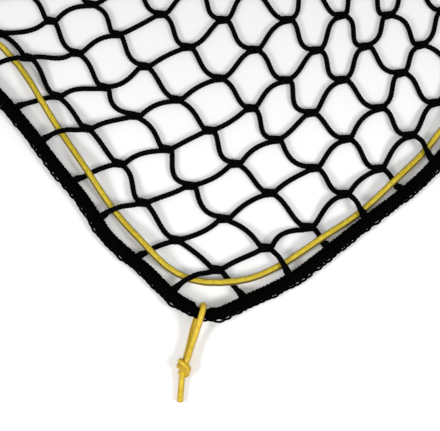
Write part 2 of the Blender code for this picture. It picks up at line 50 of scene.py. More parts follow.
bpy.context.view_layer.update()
UP = np.array((0.0, 0.0, 1.0))
TILE_RINGS = 16            # rings after which a yarn's pattern repeats, for the bake map
MILLIMETRES = 1000.0       # in a metre
FLOOR_GAP = 0.0001         # the lowest that a yarn reaches over the floor
PARALLEL = 1e-15           # two stretches that turn by less than this count as parallel
HANDLE_GAIN = 4 / 3        # how much further a curve's handles move than its middle

Points = np.ndarray
Dips = Sequence[tuple[float, float, float]]   # for each dip its depth, its middle and its reach


# ---------------------------------------------------------------- small mathematics
def smooth(share: Points | float) -> Points:
    """Ease from 0 to 1.

    Args:
        share: Where between the two ends, also outside 0 to 1.

    Returns:
        The eased share.
    """
    t = np.clip(share, 0.0, 1.0)
    return t * t * (3.0 - 2.0 * t)


def left_of(direction: Points) -> Points:
    """Turn plan directions a quarter to the left."""
    return np.stack((-direction[..., 1], direction[..., 0]), axis=-1)


def unit(vectors: Points) -> Points:
    """Scale vectors to length one."""
    return vectors / np.linalg.norm(vectors, axis=-1, keepdims=True)


def cross_2d(one: Points, other: Points) -> Points:
    """Cross product of plan vectors."""
    return one[..., 0] * other[..., 1] - one[..., 1] * other[..., 0]


def bezier(p0: Points, p1: Points, p2: Points, p3: Points, t: Points) -> Points:
    """Points of a cubic curve.

    Args:
        p0, p1, p2, p3: The curve's control points.
        t: Parameters from 0 to 1.

    Returns:
        One point for each parameter.
    """
    t = np.asarray(t)[:, None]
    s = 1.0 - t
    return p0 * s**3 + p1 * 3 * s * s * t + p2 * 3 * s * t * t + p3 * t**3


def travelled(points: Points, closed: bool = False) -> Points:
    """Distance along a path to each of its points.

    Args:
        points: The path.
        closed: Whether the path returns to its first point, which adds one distance.

    Returns:
        Distances that start at 0.
    """
    ends = np.vstack((points, points[:1])) if closed else points
    steps = np.linalg.norm(np.diff(ends, axis=0), axis=1)
    return np.concatenate(([0.0], np.cumsum(steps)))


def resample(points: Points, count: int, closed: bool = False) -> Points:
    """Spread points evenly along a path.

    Args:
        points: The path.
        count: How many points to return.
        closed: Whether the path returns to its first point.

    Returns:
        The new points.
    """
    along = travelled(points, closed)
    ends = np.vstack((points, points[:1])) if closed else points
    wanted = np.linspace(0.0, along[-1], count, endpoint=not closed)
    return np.stack([np.interp(wanted, along, ends[:, k]) for k in range(points.shape[1])], axis=1)


def rounded(points: Points, closed: bool, parts: int) -> Points:
    """Draw a smooth curve through points.

    Args:
        points: The places that the curve passes through.
        closed: Whether the curve returns to its first point.
        parts: Points for each stretch between two places.

    Returns:
        The curve's points.
    """
    if closed:
        guides = np.vstack((points[-1:], points, points[:2]))
    else:
        first, last = 2 * points[0] - points[1], 2 * points[-1] - points[-2]
        guides = np.vstack((first, points, last))
    t = np.arange(parts)[:, None] / parts
    curve = []
    for a, b, c, d in zip(guides, guides[1:], guides[2:], guides[3:]):
        curve.append(0.5 * (2 * b + (c - a) * t + (2 * a - 5 * b + 4 * c - d) * t**2
                            + (3 * b - a - 3 * c + d) * t**3))
    if not closed:
        curve.append(points[-1:])
    return np.vstack(curve)


def headings(points: Points, closed: bool) -> Points:
    """Direction of travel at each point of a path.

    Args:
        points: The path.
        closed: Whether the path returns to its first point.

    Returns:
        One unit vector for each point.
    """
    if closed:
        return unit(np.roll(points, -1, axis=0) - np.roll(points, 1, axis=0))
    return unit(np.gradient(points, axis=0))


def carried_ups(points: Points, start: int) -> Points:
    """Cross directions that turn as little as they can along an open path.

    Args:
        points: The path, which may climb and dive.
        start: The point where the direction is as near to upright as it can be.

    Returns:
        One unit vector for each point, square to the path.
    """
    ahead = headings(points, closed=False)
    ups = np.zeros_like(points)
    for order in (range(start, len(points)), range(start, -1, -1)):
        up = UP
        for k in order:
            up = unit(up - ahead[k] * float(up @ ahead[k]))
            ups[k] = up
    return ups


# ---------------------------------------------------------------- tubes
class TubeMesh:
    """Gathers yarns, each a tube with the relief of its braid, into one mesh.

    The corners of the tubes stand high and low by turns, and each face is split between its low
    corners, so that every yarn of the braid shows as a bump. The map called lay counts those
    bumps along and around a tube, and the map for baking repeats every few of them.
    """

    def __init__(self) -> None:
        """Start with nothing."""
        self.places: list[Points] = []
        self.faces: list[Points] = []
        self.lay: list[Points] = []
        self.tile: list[Points] = []
        self.count = 0

    def add(self, centres: Points, radii: Points | tuple[float, float], sides: int,
            relief: float = 0.0, ups: Points | None = None, closed: bool = False,
            floor: float | None = None) -> None:
        """Add one tube.

        Args:
            centres: The middle of each ring.
            radii: Half width and half height, for all rings or one row for each.
            sides: Corners of a ring, an even number.
            relief: How far the high corners stand out and the low ones lie in.
            ups: The height direction of each ring; upright where not given.
            closed: Whether the tube returns to its first ring.
            floor: The lowest that a corner may reach.
        """
        rings = len(centres)
        ahead = headings(centres, closed)
        wanted = UP if ups is None else ups
        side = unit(np.cross(np.broadcast_to(wanted, ahead.shape), ahead))
        up = np.cross(ahead, side)
        wide_high = np.broadcast_to(np.asarray(radii, float), (rings, 2))
        turn = 2.0 * math.pi * np.arange(sides) / sides
        ring, corner = np.meshgrid(np.arange(rings), np.arange(sides), indexing="ij")
        lift = np.where((ring + corner) % 2 == 1, relief, -relief)
        across = (wide_high[:, :1] + lift) * np.cos(turn)
        above = (wide_high[:, 1:] + lift) * np.sin(turn)
        places = (centres[:, None] + side[:, None] * across[..., None]
                  + up[:, None] * above[..., None])
        if floor is not None:
            places[..., 2] = np.maximum(places[..., 2], floor)
        self.places.append(places.reshape(-1, 3))
        self._skin(rings, sides, closed)
        self.count += rings * sides
        if not closed:
            self._cap(centres, sides, rings)

    def _skin(self, rings: int, sides: int, closed: bool) -> None:
        """Put the faces between neighbouring rings, split between their low corners.

        Args:
            rings: How many rings the tube has.
            sides: Corners of a ring.
            closed: Whether the tube returns to its first ring.
        """
        spans = rings if closed else rings - 1
        ring, corner = np.meshgrid(np.arange(spans), np.arange(sides), indexing="ij")
        even = np.array([[(0, 0), (0, 1), (1, 1)], [(0, 0), (1, 1), (1, 0)]])
        odd = np.array([[(0, 0), (0, 1), (1, 0)], [(0, 1), (1, 1), (1, 0)]])
        is_even = ((ring + corner) % 2 == 0)[..., None, None, None]
        step = np.where(is_even, even, odd)
        along = ring[..., None, None] + step[..., 0]
        around = corner[..., None, None] + step[..., 1]
        index = self.count + (along % rings) * sides + around % sides
        self.faces.append(index.reshape(-1, 3))
        self.lay.append(np.stack((along / 2.0, around / 2.0), axis=-1).reshape(-1, 2))
        first = ring[..., None, None] % TILE_RINGS
        repeat = np.stack(((first + step[..., 0]) / TILE_RINGS, around / sides), axis=-1)
        self.tile.append(repeat.reshape(-1, 2))

    def _cap(self, centres: Points, sides: int, rings: int) -> None:
        """Close both ends of the tube that was added last.

        Args:
            centres: The middle of each ring.
            sides: Corners of a ring.
            rings: How many rings the tube has.
        """
        start = self.count - rings * sides
        corner = np.arange(sides)
        following = (corner + 1) % sides
        for end, flip in ((0, True), (rings - 1, False)):
            hub = np.full(sides, self.count)
            rim = start + end * sides
            pair = (rim + following, rim + corner) if flip else (rim + corner, rim + following)
            self.places.append(centres[end:end + 1])
            self.faces.append(np.stack((hub, *pair), axis=1))
            hub_map = np.stack((np.full(sides, 0.5), (corner + 0.5) / sides), axis=1)
            first, second = (corner + 1, corner) if flip else (corner, corner + 1)
            rim_maps = [np.stack((np.zeros(sides), k / sides), axis=1) for k in (first, second)]
            tile = np.stack((hub_map, *rim_maps), axis=1).reshape(-1, 2)
            self.tile.append(tile)
            self.lay.append(tile * (TILE_RINGS / 2.0, sides / 2.0))
            self.count += 1

    def make(self, name: str, material: bpy.types.Material) -> bpy.types.Object:
        """Turn the tubes into an object.

        Args:
            name: The object's name.
            material: Its finish.

        Returns:
            The object, linked to the scene, riding on the net.
        """
        mesh = bpy.data.meshes.new(name)
        mesh.from_pydata(np.vstack(self.places).tolist(), [], np.vstack(self.faces).tolist())
        for title, corners in (("lay", self.lay), ("OFBake", self.tile)):
            layer = mesh.uv_layers.new(name=title)
            layer.uv.foreach_set("vector", np.vstack(corners).astype(np.float32).ravel())
        mesh.materials.append(material)
        mesh.shade_smooth()
        mesh.update()
        piece = bpy.data.objects.new(name, mesh)
        bpy.context.scene.collection.objects.link(piece)
        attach(piece, "root")
        return piece


# ---------------------------------------------------------------- finishes
class Graph:
    """Adds and joins nodes in one shader tree."""

    def __init__(self, tree: bpy.types.NodeTree) -> None:
        """Work on a tree.

        Args:
            tree: A material's tree or a group.
        """
        self.tree = tree

    def node(self, kind: str, **settings: object) -> bpy.types.Node:
        """Add a node.

        Args:
            kind: The node's type.
            **settings: Properties to set on it.

        Returns:
            The node.
        """
        made = self.tree.nodes.new(kind)
        for key, value in settings.items():
            setattr(made, key, value)
        return made

    def feed(self, target: bpy.types.NodeSocket, value: object) -> None:
        """Link a socket to a target, or set a plain value on it.

        Args:
            target: The input socket.
            value: An output socket, a number or a colour.
        """
        if isinstance(value, bpy.types.NodeSocket):
            self.tree.links.new(value, target)
        else:
            target.default_value = value

    def sum_of(self, operation: str, *values: object, clamp: bool = False) -> bpy.types.NodeSocket:
        """Work out a number.

        Args:
            operation: The Math node's operation.
            *values: Its inputs, sockets or numbers.
            clamp: Whether to keep the result between 0 and 1.

        Returns:
            The result's socket.
        """
        made = self.node("ShaderNodeMath", operation=operation, use_clamp=clamp)
        for target, value in zip(made.inputs, values):
            self.feed(target, value)
        return made.outputs[0]

    def blend(self, share: object, first: object, second: object) -> bpy.types.NodeSocket:
        """Mix two numbers.

        Args:
            share: How much of the second to take.
            first: The number at share 0.
            second: The number at share 1.

        Returns:
            The result's socket.
        """
        made = self.node("ShaderNodeMix", data_type="FLOAT")
        for key, value in (("Factor", share), ("A", first), ("B", second)):
            self.feed(made.inputs[key], value)
        return made.outputs["Result"]

    def tint(self, share: object, first: object, second: object) -> bpy.types.NodeSocket:
        """Mix two colours.

        Args:
            share: How much of the second to take.
            first: The colour at share 0.
            second: The colour at share 1.

        Returns:
            The result's socket.
        """
        made = self.node("ShaderNodeMix", data_type="RGBA")
        self.feed(made.inputs["Factor"], share)
        for target, value in zip([s for s in made.inputs if s.type == "RGBA"], (first, second)):
            self.feed(target, value)
        return next(s for s in made.outputs if s.type == "RGBA")

    def fading(self, value: object, ends: tuple[float, float]) -> bpy.types.NodeSocket:
        """Fade smoothly from 1 to 0.

        Args:
            value: The number that the fade follows.
            ends: Its values where the fade starts and ends.

        Returns:
            The result's socket.
        """
        made = self.node("ShaderNodeMapRange", interpolation_type="SMOOTHSTEP")
        for target, item in zip(made.inputs, (value, *ends, 1.0, 0.0)):
            self.feed(target, item)
        return made.outputs[0]


def new_group(name: str, inputs: dict[str, float], outputs: Sequence[str]) -> tuple:
    """Start a node group with plain number sockets.

    Args:
        name: The group's name.
        inputs: Each input's name and its value where nothing is linked.
        outputs: The outputs' names.

    Returns:
        The group, its graph helper, its input node and its output node.
    """
    group = bpy.data.node_groups.new(name, "ShaderNodeTree")
    for title, value in inputs.items():
        made = group.interface.new_socket(title, in_out="INPUT", socket_type="NodeSocketFloat")
        made.default_value = value
    for title in outputs:
        group.interface.new_socket(title, in_out="OUTPUT", socket_type="NodeSocketFloat")
    graph = Graph(group)
    return group, graph, graph.node("NodeGroupInput"), graph.node("NodeGroupOutput")


class YarnEffects:
    """The shader effects that the finishes share."""

    DIVE = 0.55                # height of a yarn where it dives under the next one
    FIBRE_SLANT = 0.35         # how far the fibres lean across a yarn on the way along it
    # The gaps between the yarns are painted darker in colour as shade, and are rougher.
    GAP_FADE = (0.12, 0.62)    # heights between which a gap gives way to yarn
    # The flanks, where this fade ends, are painted darker as shade.
    FLANK_FADE = (0.48, 0.93)  # sines of the way round between which a flank turns to crown

    def __init__(self) -> None:
        """Build each group once."""
        self.braid = self._braid()

    def _braid(self) -> bpy.types.NodeTree:
        """Build the braid: yarns that pass over and under each other on the slant.

        Returns:
            A group that puts out the height, a mask of the gaps, where shade is painted
            between the yarns, a tone for each yarn and a mask of the flanks, which lie away
            from the top and the underside and are painted darker as shade on the tube's sides.
        """
        group, graph, given, result = new_group(
            "yarn_braid", {"Around": 5.0, "Fibres": 4.0, "Fibre Depth": 0.12},
            ("Height", "Shaded Gap", "Tone", "Flank Shade"))
        lay = graph.node("ShaderNodeUVMap", uv_map="lay")
        split = graph.node("ShaderNodeSeparateXYZ")
        graph.feed(split.inputs[0], lay.outputs[0])
        along, around = split.outputs[0], split.outputs[1]
        right = graph.sum_of("ADD", along, around)
        left = graph.sum_of("SUBTRACT", along, around)
        right_cell, left_cell = graph.sum_of("FLOOR", right), graph.sum_of("FLOOR", left)
        right_part, left_part = graph.sum_of("FRACT", right), graph.sum_of("FRACT", left)
        both = graph.sum_of("ADD", right_cell, left_cell)
        under = graph.sum_of("FLOORED_MODULO", both, 2.0)
        across_yarn = graph.blend(under, left_part, right_part)
        along_yarn = graph.blend(under, right_part, left_part)

        def hump(value: object) -> bpy.types.NodeSocket:
            """Rise from 0 at both sides of a cell to 1 in its middle."""
            centred = graph.sum_of("MULTIPLY_ADD", value, 2.0, -1.0)
            return graph.sum_of("SUBTRACT", 1.0, graph.sum_of("MULTIPLY", centred, centred))

        body = graph.sum_of("SQRT", graph.sum_of("MAXIMUM", hump(across_yarn), 0.0))
        arch = graph.sum_of("MULTIPLY_ADD", hump(along_yarn), 1.0 - self.DIVE, self.DIVE)
        relief = graph.sum_of("MULTIPLY", body, arch)
        turns = graph.sum_of("MULTIPLY", given.outputs["Fibres"], 2.0 * math.pi)
        bent = graph.sum_of("MULTIPLY_ADD", along_yarn, self.FIBRE_SLANT, across_yarn)
        fibres = graph.sum_of("SINE", graph.sum_of("MULTIPLY", bent, turns))
        grooves = graph.sum_of("MULTIPLY", fibres, given.outputs["Fibre Depth"])
        height = graph.sum_of("MULTIPLY_ADD", grooves, body, relief)
        # Painted shade mask: 1 in the gaps between the yarns, where the colour is darkened as shade.
        shaded_gap = graph.fading(relief, self.GAP_FADE)
        row = graph.sum_of("FLOORED_MODULO", both, float(TILE_RINGS))
        turn = graph.sum_of("MULTIPLY", given.outputs["Around"], 2.0)
        column = graph.sum_of("FLOORED_MODULO",
                              graph.sum_of("SUBTRACT", right_cell, left_cell), turn)
        key = graph.node("ShaderNodeCombineXYZ")
        graph.feed(key.inputs[0], row)
        graph.feed(key.inputs[1], column)
        noise = graph.node("ShaderNodeTexWhiteNoise", noise_dimensions="2D")
        graph.feed(noise.inputs["Vector"], key.outputs[0])
        # Painted shade mask: 1 on the tube's sides and 0 on its top and underside, so that the sides
        # come out darker as if in shade.
        part_round = graph.sum_of("DIVIDE", around, given.outputs["Around"])
        angle = graph.sum_of("MULTIPLY", part_round, 2.0 * math.pi)
        crown = graph.sum_of("ABSOLUTE", graph.sum_of("SINE", angle))
        flank_shade = graph.fading(crown, self.FLANK_FADE)
        for title, value in (("Height", height), ("Shaded Gap", shaded_gap), ("Tone", noise.outputs["Value"]),
                             ("Flank Shade", flank_shade)):
            graph.feed(result.inputs[title], value)
        return group


@dataclass(frozen=True)
class YarnFinish:
    """A braided yarn's look: its colours and painted shade, its gloss and its braid's depth."""

    name: str
    yarn: tuple[float, float, float]
    # Colour painted into the gaps between the yarns as shade.
    shaded_gap: tuple[float, float, float]
    light: tuple[float, float, float]
    roughness: float
    gap_roughness: float
    specular: float
    around: float
    fibres: float
    fibre_depth: float
    bump: float
    # Colour painted on the tube's sides as shade, where given.
    flank_shade: tuple[float, float, float] | None = None
    bump_strength: float = 0.9

    def build(self, effects: YarnEffects) -> bpy.types.Material:
        """Make the material.

        Args:
            effects: The shared node groups.

        Returns:
            The material.
        """
        material = bpy.data.materials.new(self.name)
        material.use_nodes = True
        graph = Graph(material.node_tree)
        shader = material.node_tree.nodes["Principled BSDF"]
        braid = graph.node("ShaderNodeGroup", node_tree=effects.braid)
        values = (("Around", self.around), ("Fibres", self.fibres),
                  ("Fibre Depth", self.fibre_depth))
        for title, value in values:
            braid.inputs[title].default_value = value
        tone = graph.tint(braid.outputs["Tone"], (*self.yarn, 1.0), (*self.light, 1.0))
        # Painted shade: the gaps between the yarns are darkened towards the gap colour.
        colour = graph.tint(braid.outputs["Shaded Gap"], tone, (*self.shaded_gap, 1.0))
        # Painted shade: the sides of the tube are tinted towards the flank colour.
        if self.flank_shade is not None:
            colour = graph.tint(braid.outputs["Flank Shade"], colour, (*self.flank_shade, 1.0))
        graph.feed(shader.inputs["Base Color"], colour)
        rough = graph.blend(braid.outputs["Shaded Gap"], self.roughness, self.gap_roughness)
        graph.feed(shader.inputs["Roughness"], rough)
        shader.inputs["Specular IOR Level"].default_value = self.specular
        bump = graph.node("ShaderNodeBump")
        bump.inputs["Strength"].default_value = self.bump_strength
        bump.inputs["Distance"].default_value = self.bump
        graph.feed(bump.inputs["Height"], braid.outputs["Height"])
        graph.feed(shader.inputs["Normal"], bump.outputs[0])
        return material


# Each finish's gap colour is painted shade between the yarns of its braid.
TWINE_FINISH = YarnFinish(
    name="black_braided_twine", yarn=(0.0005, 0.0005, 0.0006), shaded_gap=(0.0001, 0.0001, 0.0001),
    light=(0.0026, 0.0026, 0.0028), roughness=0.75, gap_roughness=0.95, specular=0.022,
    around=5.0, fibres=4.0, fibre_depth=0.14, bump=0.0005)
ROPE_FINISH = YarnFinish(
    name="black_border_rope", yarn=(0.0004, 0.0004, 0.0005), shaded_gap=(0.0001, 0.0001, 0.0001),
    light=(0.0012, 0.0012, 0.0013), roughness=0.85, gap_roughness=0.95, specular=0.015,
    around=12.0, fibres=4.0, fibre_depth=0.16, bump=0.0006)
THREAD_FINISH = YarnFinish(
    name="black_binding_thread", yarn=(0.0004, 0.0004, 0.0005), shaded_gap=(0.0001, 0.0001, 0.0001),
    light=(0.0020, 0.0020, 0.0021), roughness=0.85, gap_roughness=0.95, specular=0.015,
    around=3.0, fibres=3.0, fibre_depth=0.10, bump=0.0002)
# The line's and the tie's flank colours are painted shade on the sides of the cord.
LINE_FINISH = YarnFinish(
    name="yellow_braided_line", yarn=(0.52, 0.385, 0.014), shaded_gap=(0.25, 0.17, 0.006),
    light=(0.72, 0.565, 0.040), roughness=0.42, gap_roughness=0.62, specular=0.30,
    around=12.0, fibres=3.0, fibre_depth=0.10, bump=0.00025,
    flank_shade=(0.120, 0.080, 0.004))
TIE_FINISH = YarnFinish(
    name="amber_braided_cord", yarn=(0.64, 0.43, 0.018), shaded_gap=(0.30, 0.17, 0.008),
    light=(0.80, 0.60, 0.056), roughness=0.44, gap_roughness=0.66, specular=0.30,
    around=8.0, fibres=3.0, fibre_depth=0.10, bump=0.00025,
    flank_shade=(0.46, 0.29, 0.010))


# ---------------------------------------------------------------- layout of the net
class Port(Enum):
    """A joint's four openings, each with its side along and across the joint."""

    EAST = (1.0, 1.0)
    NORTH = (-1.0, 1.0)
    SOUTH = (1.0, -1.0)
    WEST = (-1.0, -1.0)


# How far each joint lies off the even net towards +X and +Y, in millimetres, a row of the net to
# a line and a column to a number. These tables and the next repeat over the rest of the net.
# Nearly all of their numbers are the readings of a measuring program that was run on the
# photograph, rounded to a millimetre. They weren't chosen by hand. The solids have the same ones.
DRIFT_X = (
    (1, 2, 0, 2, 0, 1),
    (-5, -4, -1, 2, 1, 3, 2),
    (-4, -5, -4, -4, -4, -1, -2),
    (3, 1, 0, 0, 1, 2, 4),
    (-1, -1, -3, -2, 0, 3),
    (-3, -6, -4, -4, -2),
    (2, -3, -3, -1, 1),
    (0, 1, -1, 0),
)
DRIFT_Y = (
    (0, -2, -4, 1, -1, -1),
    (0, 1, 2, -2, 0, -2, 2),
    (1, 2, 2, 1, 0, 1, 3),
    (0, 0, 0, -2, -1, -2, 0),
    (1, 1, 1, -2, 0, -2),
    (2, -1, 4, 0, 1),
    (5, 0, 4, 0, 1),
    (0, -1, 1, -1),
)

# How far the bar after each joint hangs to the left of its run, in millimetres, laid out alike.
SLACK_NORTHWARDS = (
    (-3, -5, -2, 0, -1, 0, -1),
    (-1, 4, -2, 4, 0, 1, 3, -6),
    (-3, 4, 2, 1, 4, 1, -1),
    (-2, -5, -4, -2, -1, 2),
    (-3, 5, -1, 1, 2, -1),
    (-2, -3, 2, -1, 1, 2),
    (-3, 1, -5, 1, 3),
)
SLACK_EASTWARDS = (
    (-1, 4, 1, 1, 1, -1),
    (-4, 1, 0, 1, 2, -3, 0),
    (-2, -4, 2, -2, 1, -1, -5),
    (2, -1, -3, 2, -2, 0),
    (0, 2, 1, -1, 1, -2),
    (2, -5, 0, -3, 1),
    (-4, 2, -2, 1, 2),
    (-6, 3, -1, 2),
)


def listed(table: Sequence[Sequence[int]], a: int, b: int) -> float:
    """A table's value for joint (a, b), in metres."""
    row = table[b % len(table)]
    return row[a % len(row)] / MILLIMETRES


class RimLoop:
    """A closed plan path round the net, with distances along it."""

    def __init__(self, points: Points) -> None:
        """Measure the path.

        Args:
            points: Its places on the floor plan, anticlockwise.
        """
        self.points = points
        self.along = travelled(points, closed=True)
        self.length = float(self.along[-1])

    def at(self, distance: Points | float) -> Points:
        """Find places along the path.

        Args:
            distance: Distances along it, which may pass its end.

        Returns:
            Plan places.
        """
        ends = np.vstack((self.points, self.points[:1]))
        wanted = np.asarray(distance) % self.length
        return np.stack([np.interp(wanted, self.along, ends[:, k]) for k in range(2)], axis=-1)

    def nearest(self, place: Points) -> float:
        """Distance along the path of its point nearest to a place."""
        return float(self.along[np.argmin(np.linalg.norm(self.points - place, axis=1))])

    def foot(self, place: Points) -> tuple[Points, Points]:
        """Find the path's point nearest to a place.

        Args:
            place: The place.

        Returns:
            The point, and the direction of travel there.
        """
        run = np.roll(self.points, -1, axis=0) - self.points
        share = np.sum((place - self.points) * run, axis=1) / np.sum(run * run, axis=1)
        feet = self.points + run * np.clip(share, 0.0, 1.0)[:, None]
        k = int(np.argmin(np.linalg.norm(feet - place, axis=1)))
        return feet[k], unit(run[k])

    def apart(self, distance: Points, place: float) -> Points:
        """The shorter way along the path between distances and one place."""
        way = np.abs(distance - place) % self.length
        return np.minimum(way, self.length - way)

    def crossing(self, path: Points) -> tuple[float, float]:
        """Find where an open plan path crosses this one.

        Args:
            path: The other path.

        Returns:
            The share of the other path, and the distance along this one.
        """
        start, step = path[:-1, None], np.diff(path, axis=0)[:, None]
        edge, run = self.points[None], (np.roll(self.points, -1, axis=0) - self.points)[None]
        turn = cross_2d(step, run)
        turn = np.where(np.abs(turn) < PARALLEL, PARALLEL, turn)
        on_path = cross_2d(edge - start, run) / turn
        on_loop = cross_2d(edge - start, step) / turn
        hits = (on_path >= 0) & (on_path < 1) & (on_loop >= 0) & (on_loop < 1)
        s, k = np.argwhere(hits)[0]
        reach = on_loop[s, k] * (self.along[k + 1] - self.along[k])
        return (s + on_path[s, k]) / (len(path) - 1), float(self.along[k] + reach)


@dataclass(frozen=True)
class Corner:
    """A corner of the net: its sides, both loops' radii there, its tie's place and turns."""

    name: str
    side_x: int
    side_y: int
    border_columns: float
    border_rows: float
    line_radius: float
    tie_along: float
    tie_turn: float
    tail_turn: float


CORNERS = (
    # name, sides, border's columns and rows, line's radius, tie's place and turn, tail's turn
    Corner("ws", -1, -1, 0.42, 0.80, 1.20, -0.0035, 3.5, 12.0),
    Corner("es", +1, -1, 0.45, 0.45, 0.70, 0.0000, 4.0, 18.0),
    Corner("en", +1, +1, 0.45, 0.45, 0.95, 0.0000, -5.0, -16.0),
    Corner("wn", -1, +1, 0.45, 0.45, 0.70, 0.0000, 6.0, 14.0),
)


@dataclass(frozen=True)
class NetLayout:
    """How the net lies: its joints, its border and its line, as the solids have them."""

    columns: int = 12
    rows: int = 14
    step_x: float = 0.0441
    step_y: float = 0.0460
    first_sag: float = 0.0325
    sag_gain: float = 0.0055
    sag_loss: float = 0.00042
    sag_lowest: float = 4.0
    sag_return: float = 6.0
    lean: float = 0.030
    lean_rows: float = 19.0
    pull: float = 0.0060
    pull_row: float = 5.0
    pull_rows: float = 3.5
    pull_columns: float = 2.0
    margin_x: float = 1.03
    margin_y: float = 0.885
    west_dips: Dips = ((0.07, 4.2, 3.5), (0.045, 2.5, 0.9), (-0.055, 1.4, 0.8), (0.03, 0.4, 0.8))
    south_dips: Dips = ((0.115, 2.7, 2.0), (0.025, 0.1, 0.6), (-0.015, 0.8, 0.6))
    half_width: float = 0.0060
    line_margin_x: float = 0.69
    line_margin_y: float = 0.50
    line_dips: Dips = ((0.31, 6.5, 6.5), (0.17, 6.4, 1.9))
    west_drop: float = 0.12
    west_drop_under: float = 0.22
    south_shift: float = 0.10
    arc_steps: int = 8
    line_parts: int = 4

    @property
    def last_column(self) -> int:
        """Number of the last column."""
        return self.columns - 1

    @property
    def last_row(self) -> int:
        """Number of the last row."""
        return self.rows - 1

    def bow(self, a: Points) -> Points:
        """Share of the full sag.

        Args:
            a: Columns.

        Returns:
            Shares, which are below 0 outside the first column.
        """
        bowl = 1.0 - ((a - self.sag_lowest) / self.sag_lowest) ** 2
        back = 0.5 + 0.5 * np.cos(math.pi * (a - self.sag_lowest) / self.sag_return)
        there = np.where(a < self.sag_lowest, bowl, back)
        return np.where(a < self.sag_lowest + self.sag_return, there, 0.0)

    def plan(self, a: Points | float, b: Points | float) -> Points:
        """Places of addresses before the net is centred.

        Args:
            a: Columns.
            b: Rows.

        Returns:
            Plan places.
        """
        a, b = np.broadcast_arrays(np.asarray(a, float), np.asarray(b, float))
        lean = self.lean * (1.0 - np.cos(2.0 * math.pi * b / self.lean_rows)) / 2.0
        near = np.clip(1.0 - a / self.pull_columns, 0.0, 1.0)
        reach = np.clip((b - self.pull_row) / self.pull_rows, -1.0, 1.0)
        lean = lean + self.pull * near * np.cos(math.pi / 2 * reach) ** 2
        depth = self.first_sag + self.sag_gain * b - self.sag_loss * b * b
        return np.stack((self.step_x * a + lean, self.step_y * b - depth * self.bow(a)), axis=-1)

    def centre(self) -> Points:
        """Find the middle of the box round the border.

        Returns:
            Its place before the net is centred there.
        """
        loop = self._border()
        side = left_of(headings(loop, closed=True)) * self.half_width
        edges = np.vstack((loop + side, loop - side))
        return (edges.min(axis=0) + edges.max(axis=0)) / 2

    def place(self, a: Points | float, b: Points | float) -> Points:
        """Places of addresses on the floor."""
        return self.plan(a, b) - self.centre()

    @staticmethod
    def drawn_in(place: Points, dips: Dips) -> Points:
        """How far a side of a rim is drawn towards the joints.

        Args:
            place: Rows or columns along the side.
            dips: For each dip the most it draws in, where, and how far either way.

        Returns:
            Columns or rows inwards.
        """
        total = np.zeros_like(place)
        for depth, middle, reach in dips:
            away = np.clip((place - middle) / reach, -1.0, 1.0)
            total += depth * np.cos(math.pi / 2 * away) ** 2
        return total

    def _rim(self, margin_x: float, margin_y: float, radii: Sequence[tuple[float, float]],
             west: Dips, south: Dips, parts: int) -> Points:
        """Draw a rounded loop outside the joints.

        Args:
            margin_x: How far it lies outside the outer joints, in columns.
            margin_y: The same in rows.
            radii: For each corner its radius in columns and in rows.
            west: The western side's dips.
            south: The southern side's dips.
            parts: Points for each stretch of the loop.

        Returns:
            Its plan places, anticlockwise.
        """
        low_a, high_a = -margin_x, self.last_column + margin_x
        low_b, high_b = -margin_y, self.last_row + margin_y
        half_rows = np.arange(2 * self.last_row + 1) / 2
        half_columns = np.arange(2 * self.last_column + 1) / 2

        def arc(corner_a: float, corner_b: float, side_a: int, side_b: int,
                radius: tuple[float, float], start: float) -> list[tuple[float, float]]:
            """Draw the arc round one corner.

            Args:
                corner_a: The corner's column.
                corner_b: Its row.
                side_a: The side of the net on which it lies along the rows, -1 or 1.
                side_b: The same along the columns.
                radius: Its radius in columns and in rows.
                start: The angle at which the arc starts.

            Returns:
                The arc's addresses.
            """
            turns = start + math.pi / 2 * np.arange(self.arc_steps + 1) / self.arc_steps
            return list(zip(corner_a - side_a * radius[0] + radius[0] * np.cos(turns),
                            corner_b - side_b * radius[1] + radius[1] * np.sin(turns)))

        def between(values: Points, low: float, high: float) -> Points:
            """Values strictly between two others."""
            return values[(values > low) & (values < high)]

        ws, es, en, wn = radii
        path = arc(low_a, low_b, -1, -1, ws, math.pi)
        path += [(a, low_b) for a in between(half_columns, low_a + ws[0], high_a - es[0])]
        path += arc(high_a, low_b, +1, -1, es, 1.5 * math.pi)
        path += [(high_a, b) for b in between(half_rows, low_b + es[1], high_b - en[1])]
        path += arc(high_a, high_b, +1, +1, en, 0.0)
        path += [(a, high_b) for a in between(half_columns, low_a + wn[0], high_a - en[0])[::-1]]
        path += arc(low_a, high_b, -1, +1, wn, 0.5 * math.pi)
        path += [(low_a, b) for b in between(half_rows, low_b + ws[1], high_b - wn[1])[::-1]]
        address = np.array(path)
        a, b = address.T
        address = np.column_stack((np.where(a < 0, a + self.drawn_in(b, west), a),
                                   np.where(b < 0, b + self.drawn_in(a, south), b)))
        following = np.roll(address, -1, axis=0)
        shares = np.arange(parts)[None, :, None] / parts
        fine = (address[:, None] + (following - address)[:, None] * shares).reshape(-1, 2)
        return self.plan(fine[:, 0], fine[:, 1])

    def _border(self) -> Points:
        """Draw the border rope.

        Returns:
            Its middle before the net is centred.
        """
        return self._rim(self.margin_x, self.margin_y,
                         [(corner.border_columns, corner.border_rows) for corner in CORNERS],
                         self.west_dips, self.south_dips, 1)

    def border_loop(self) -> RimLoop:
        """The border rope's middle, on the floor plan."""
        return RimLoop(self._border() - self.centre())

    def line_loop(self) -> RimLoop:
        """Draw the yellow line.

        Returns:
            Its middle, on the floor plan.
        """
        points = self._rim(self.line_margin_x, self.line_margin_y,
                           [(corner.line_radius, corner.line_radius) for corner in CORNERS],
                           self.line_dips, (), self.line_parts)
        return RimLoop(points - self.centre())

    def tie_place(self, loop: RimLoop, corner: Corner) -> float:
        """Find where a corner's tie grips the border.

        Args:
            loop: The border rope's middle.
            corner: The corner.

        Returns:
            The distance along the border.
        """
        a = self.last_column + self.margin_x if corner.side_x > 0 else -self.margin_x
        b = self.last_row + self.margin_y if corner.side_y > 0 else -self.margin_y
        return loop.nearest(self.place(a, b)) + corner.tie_along


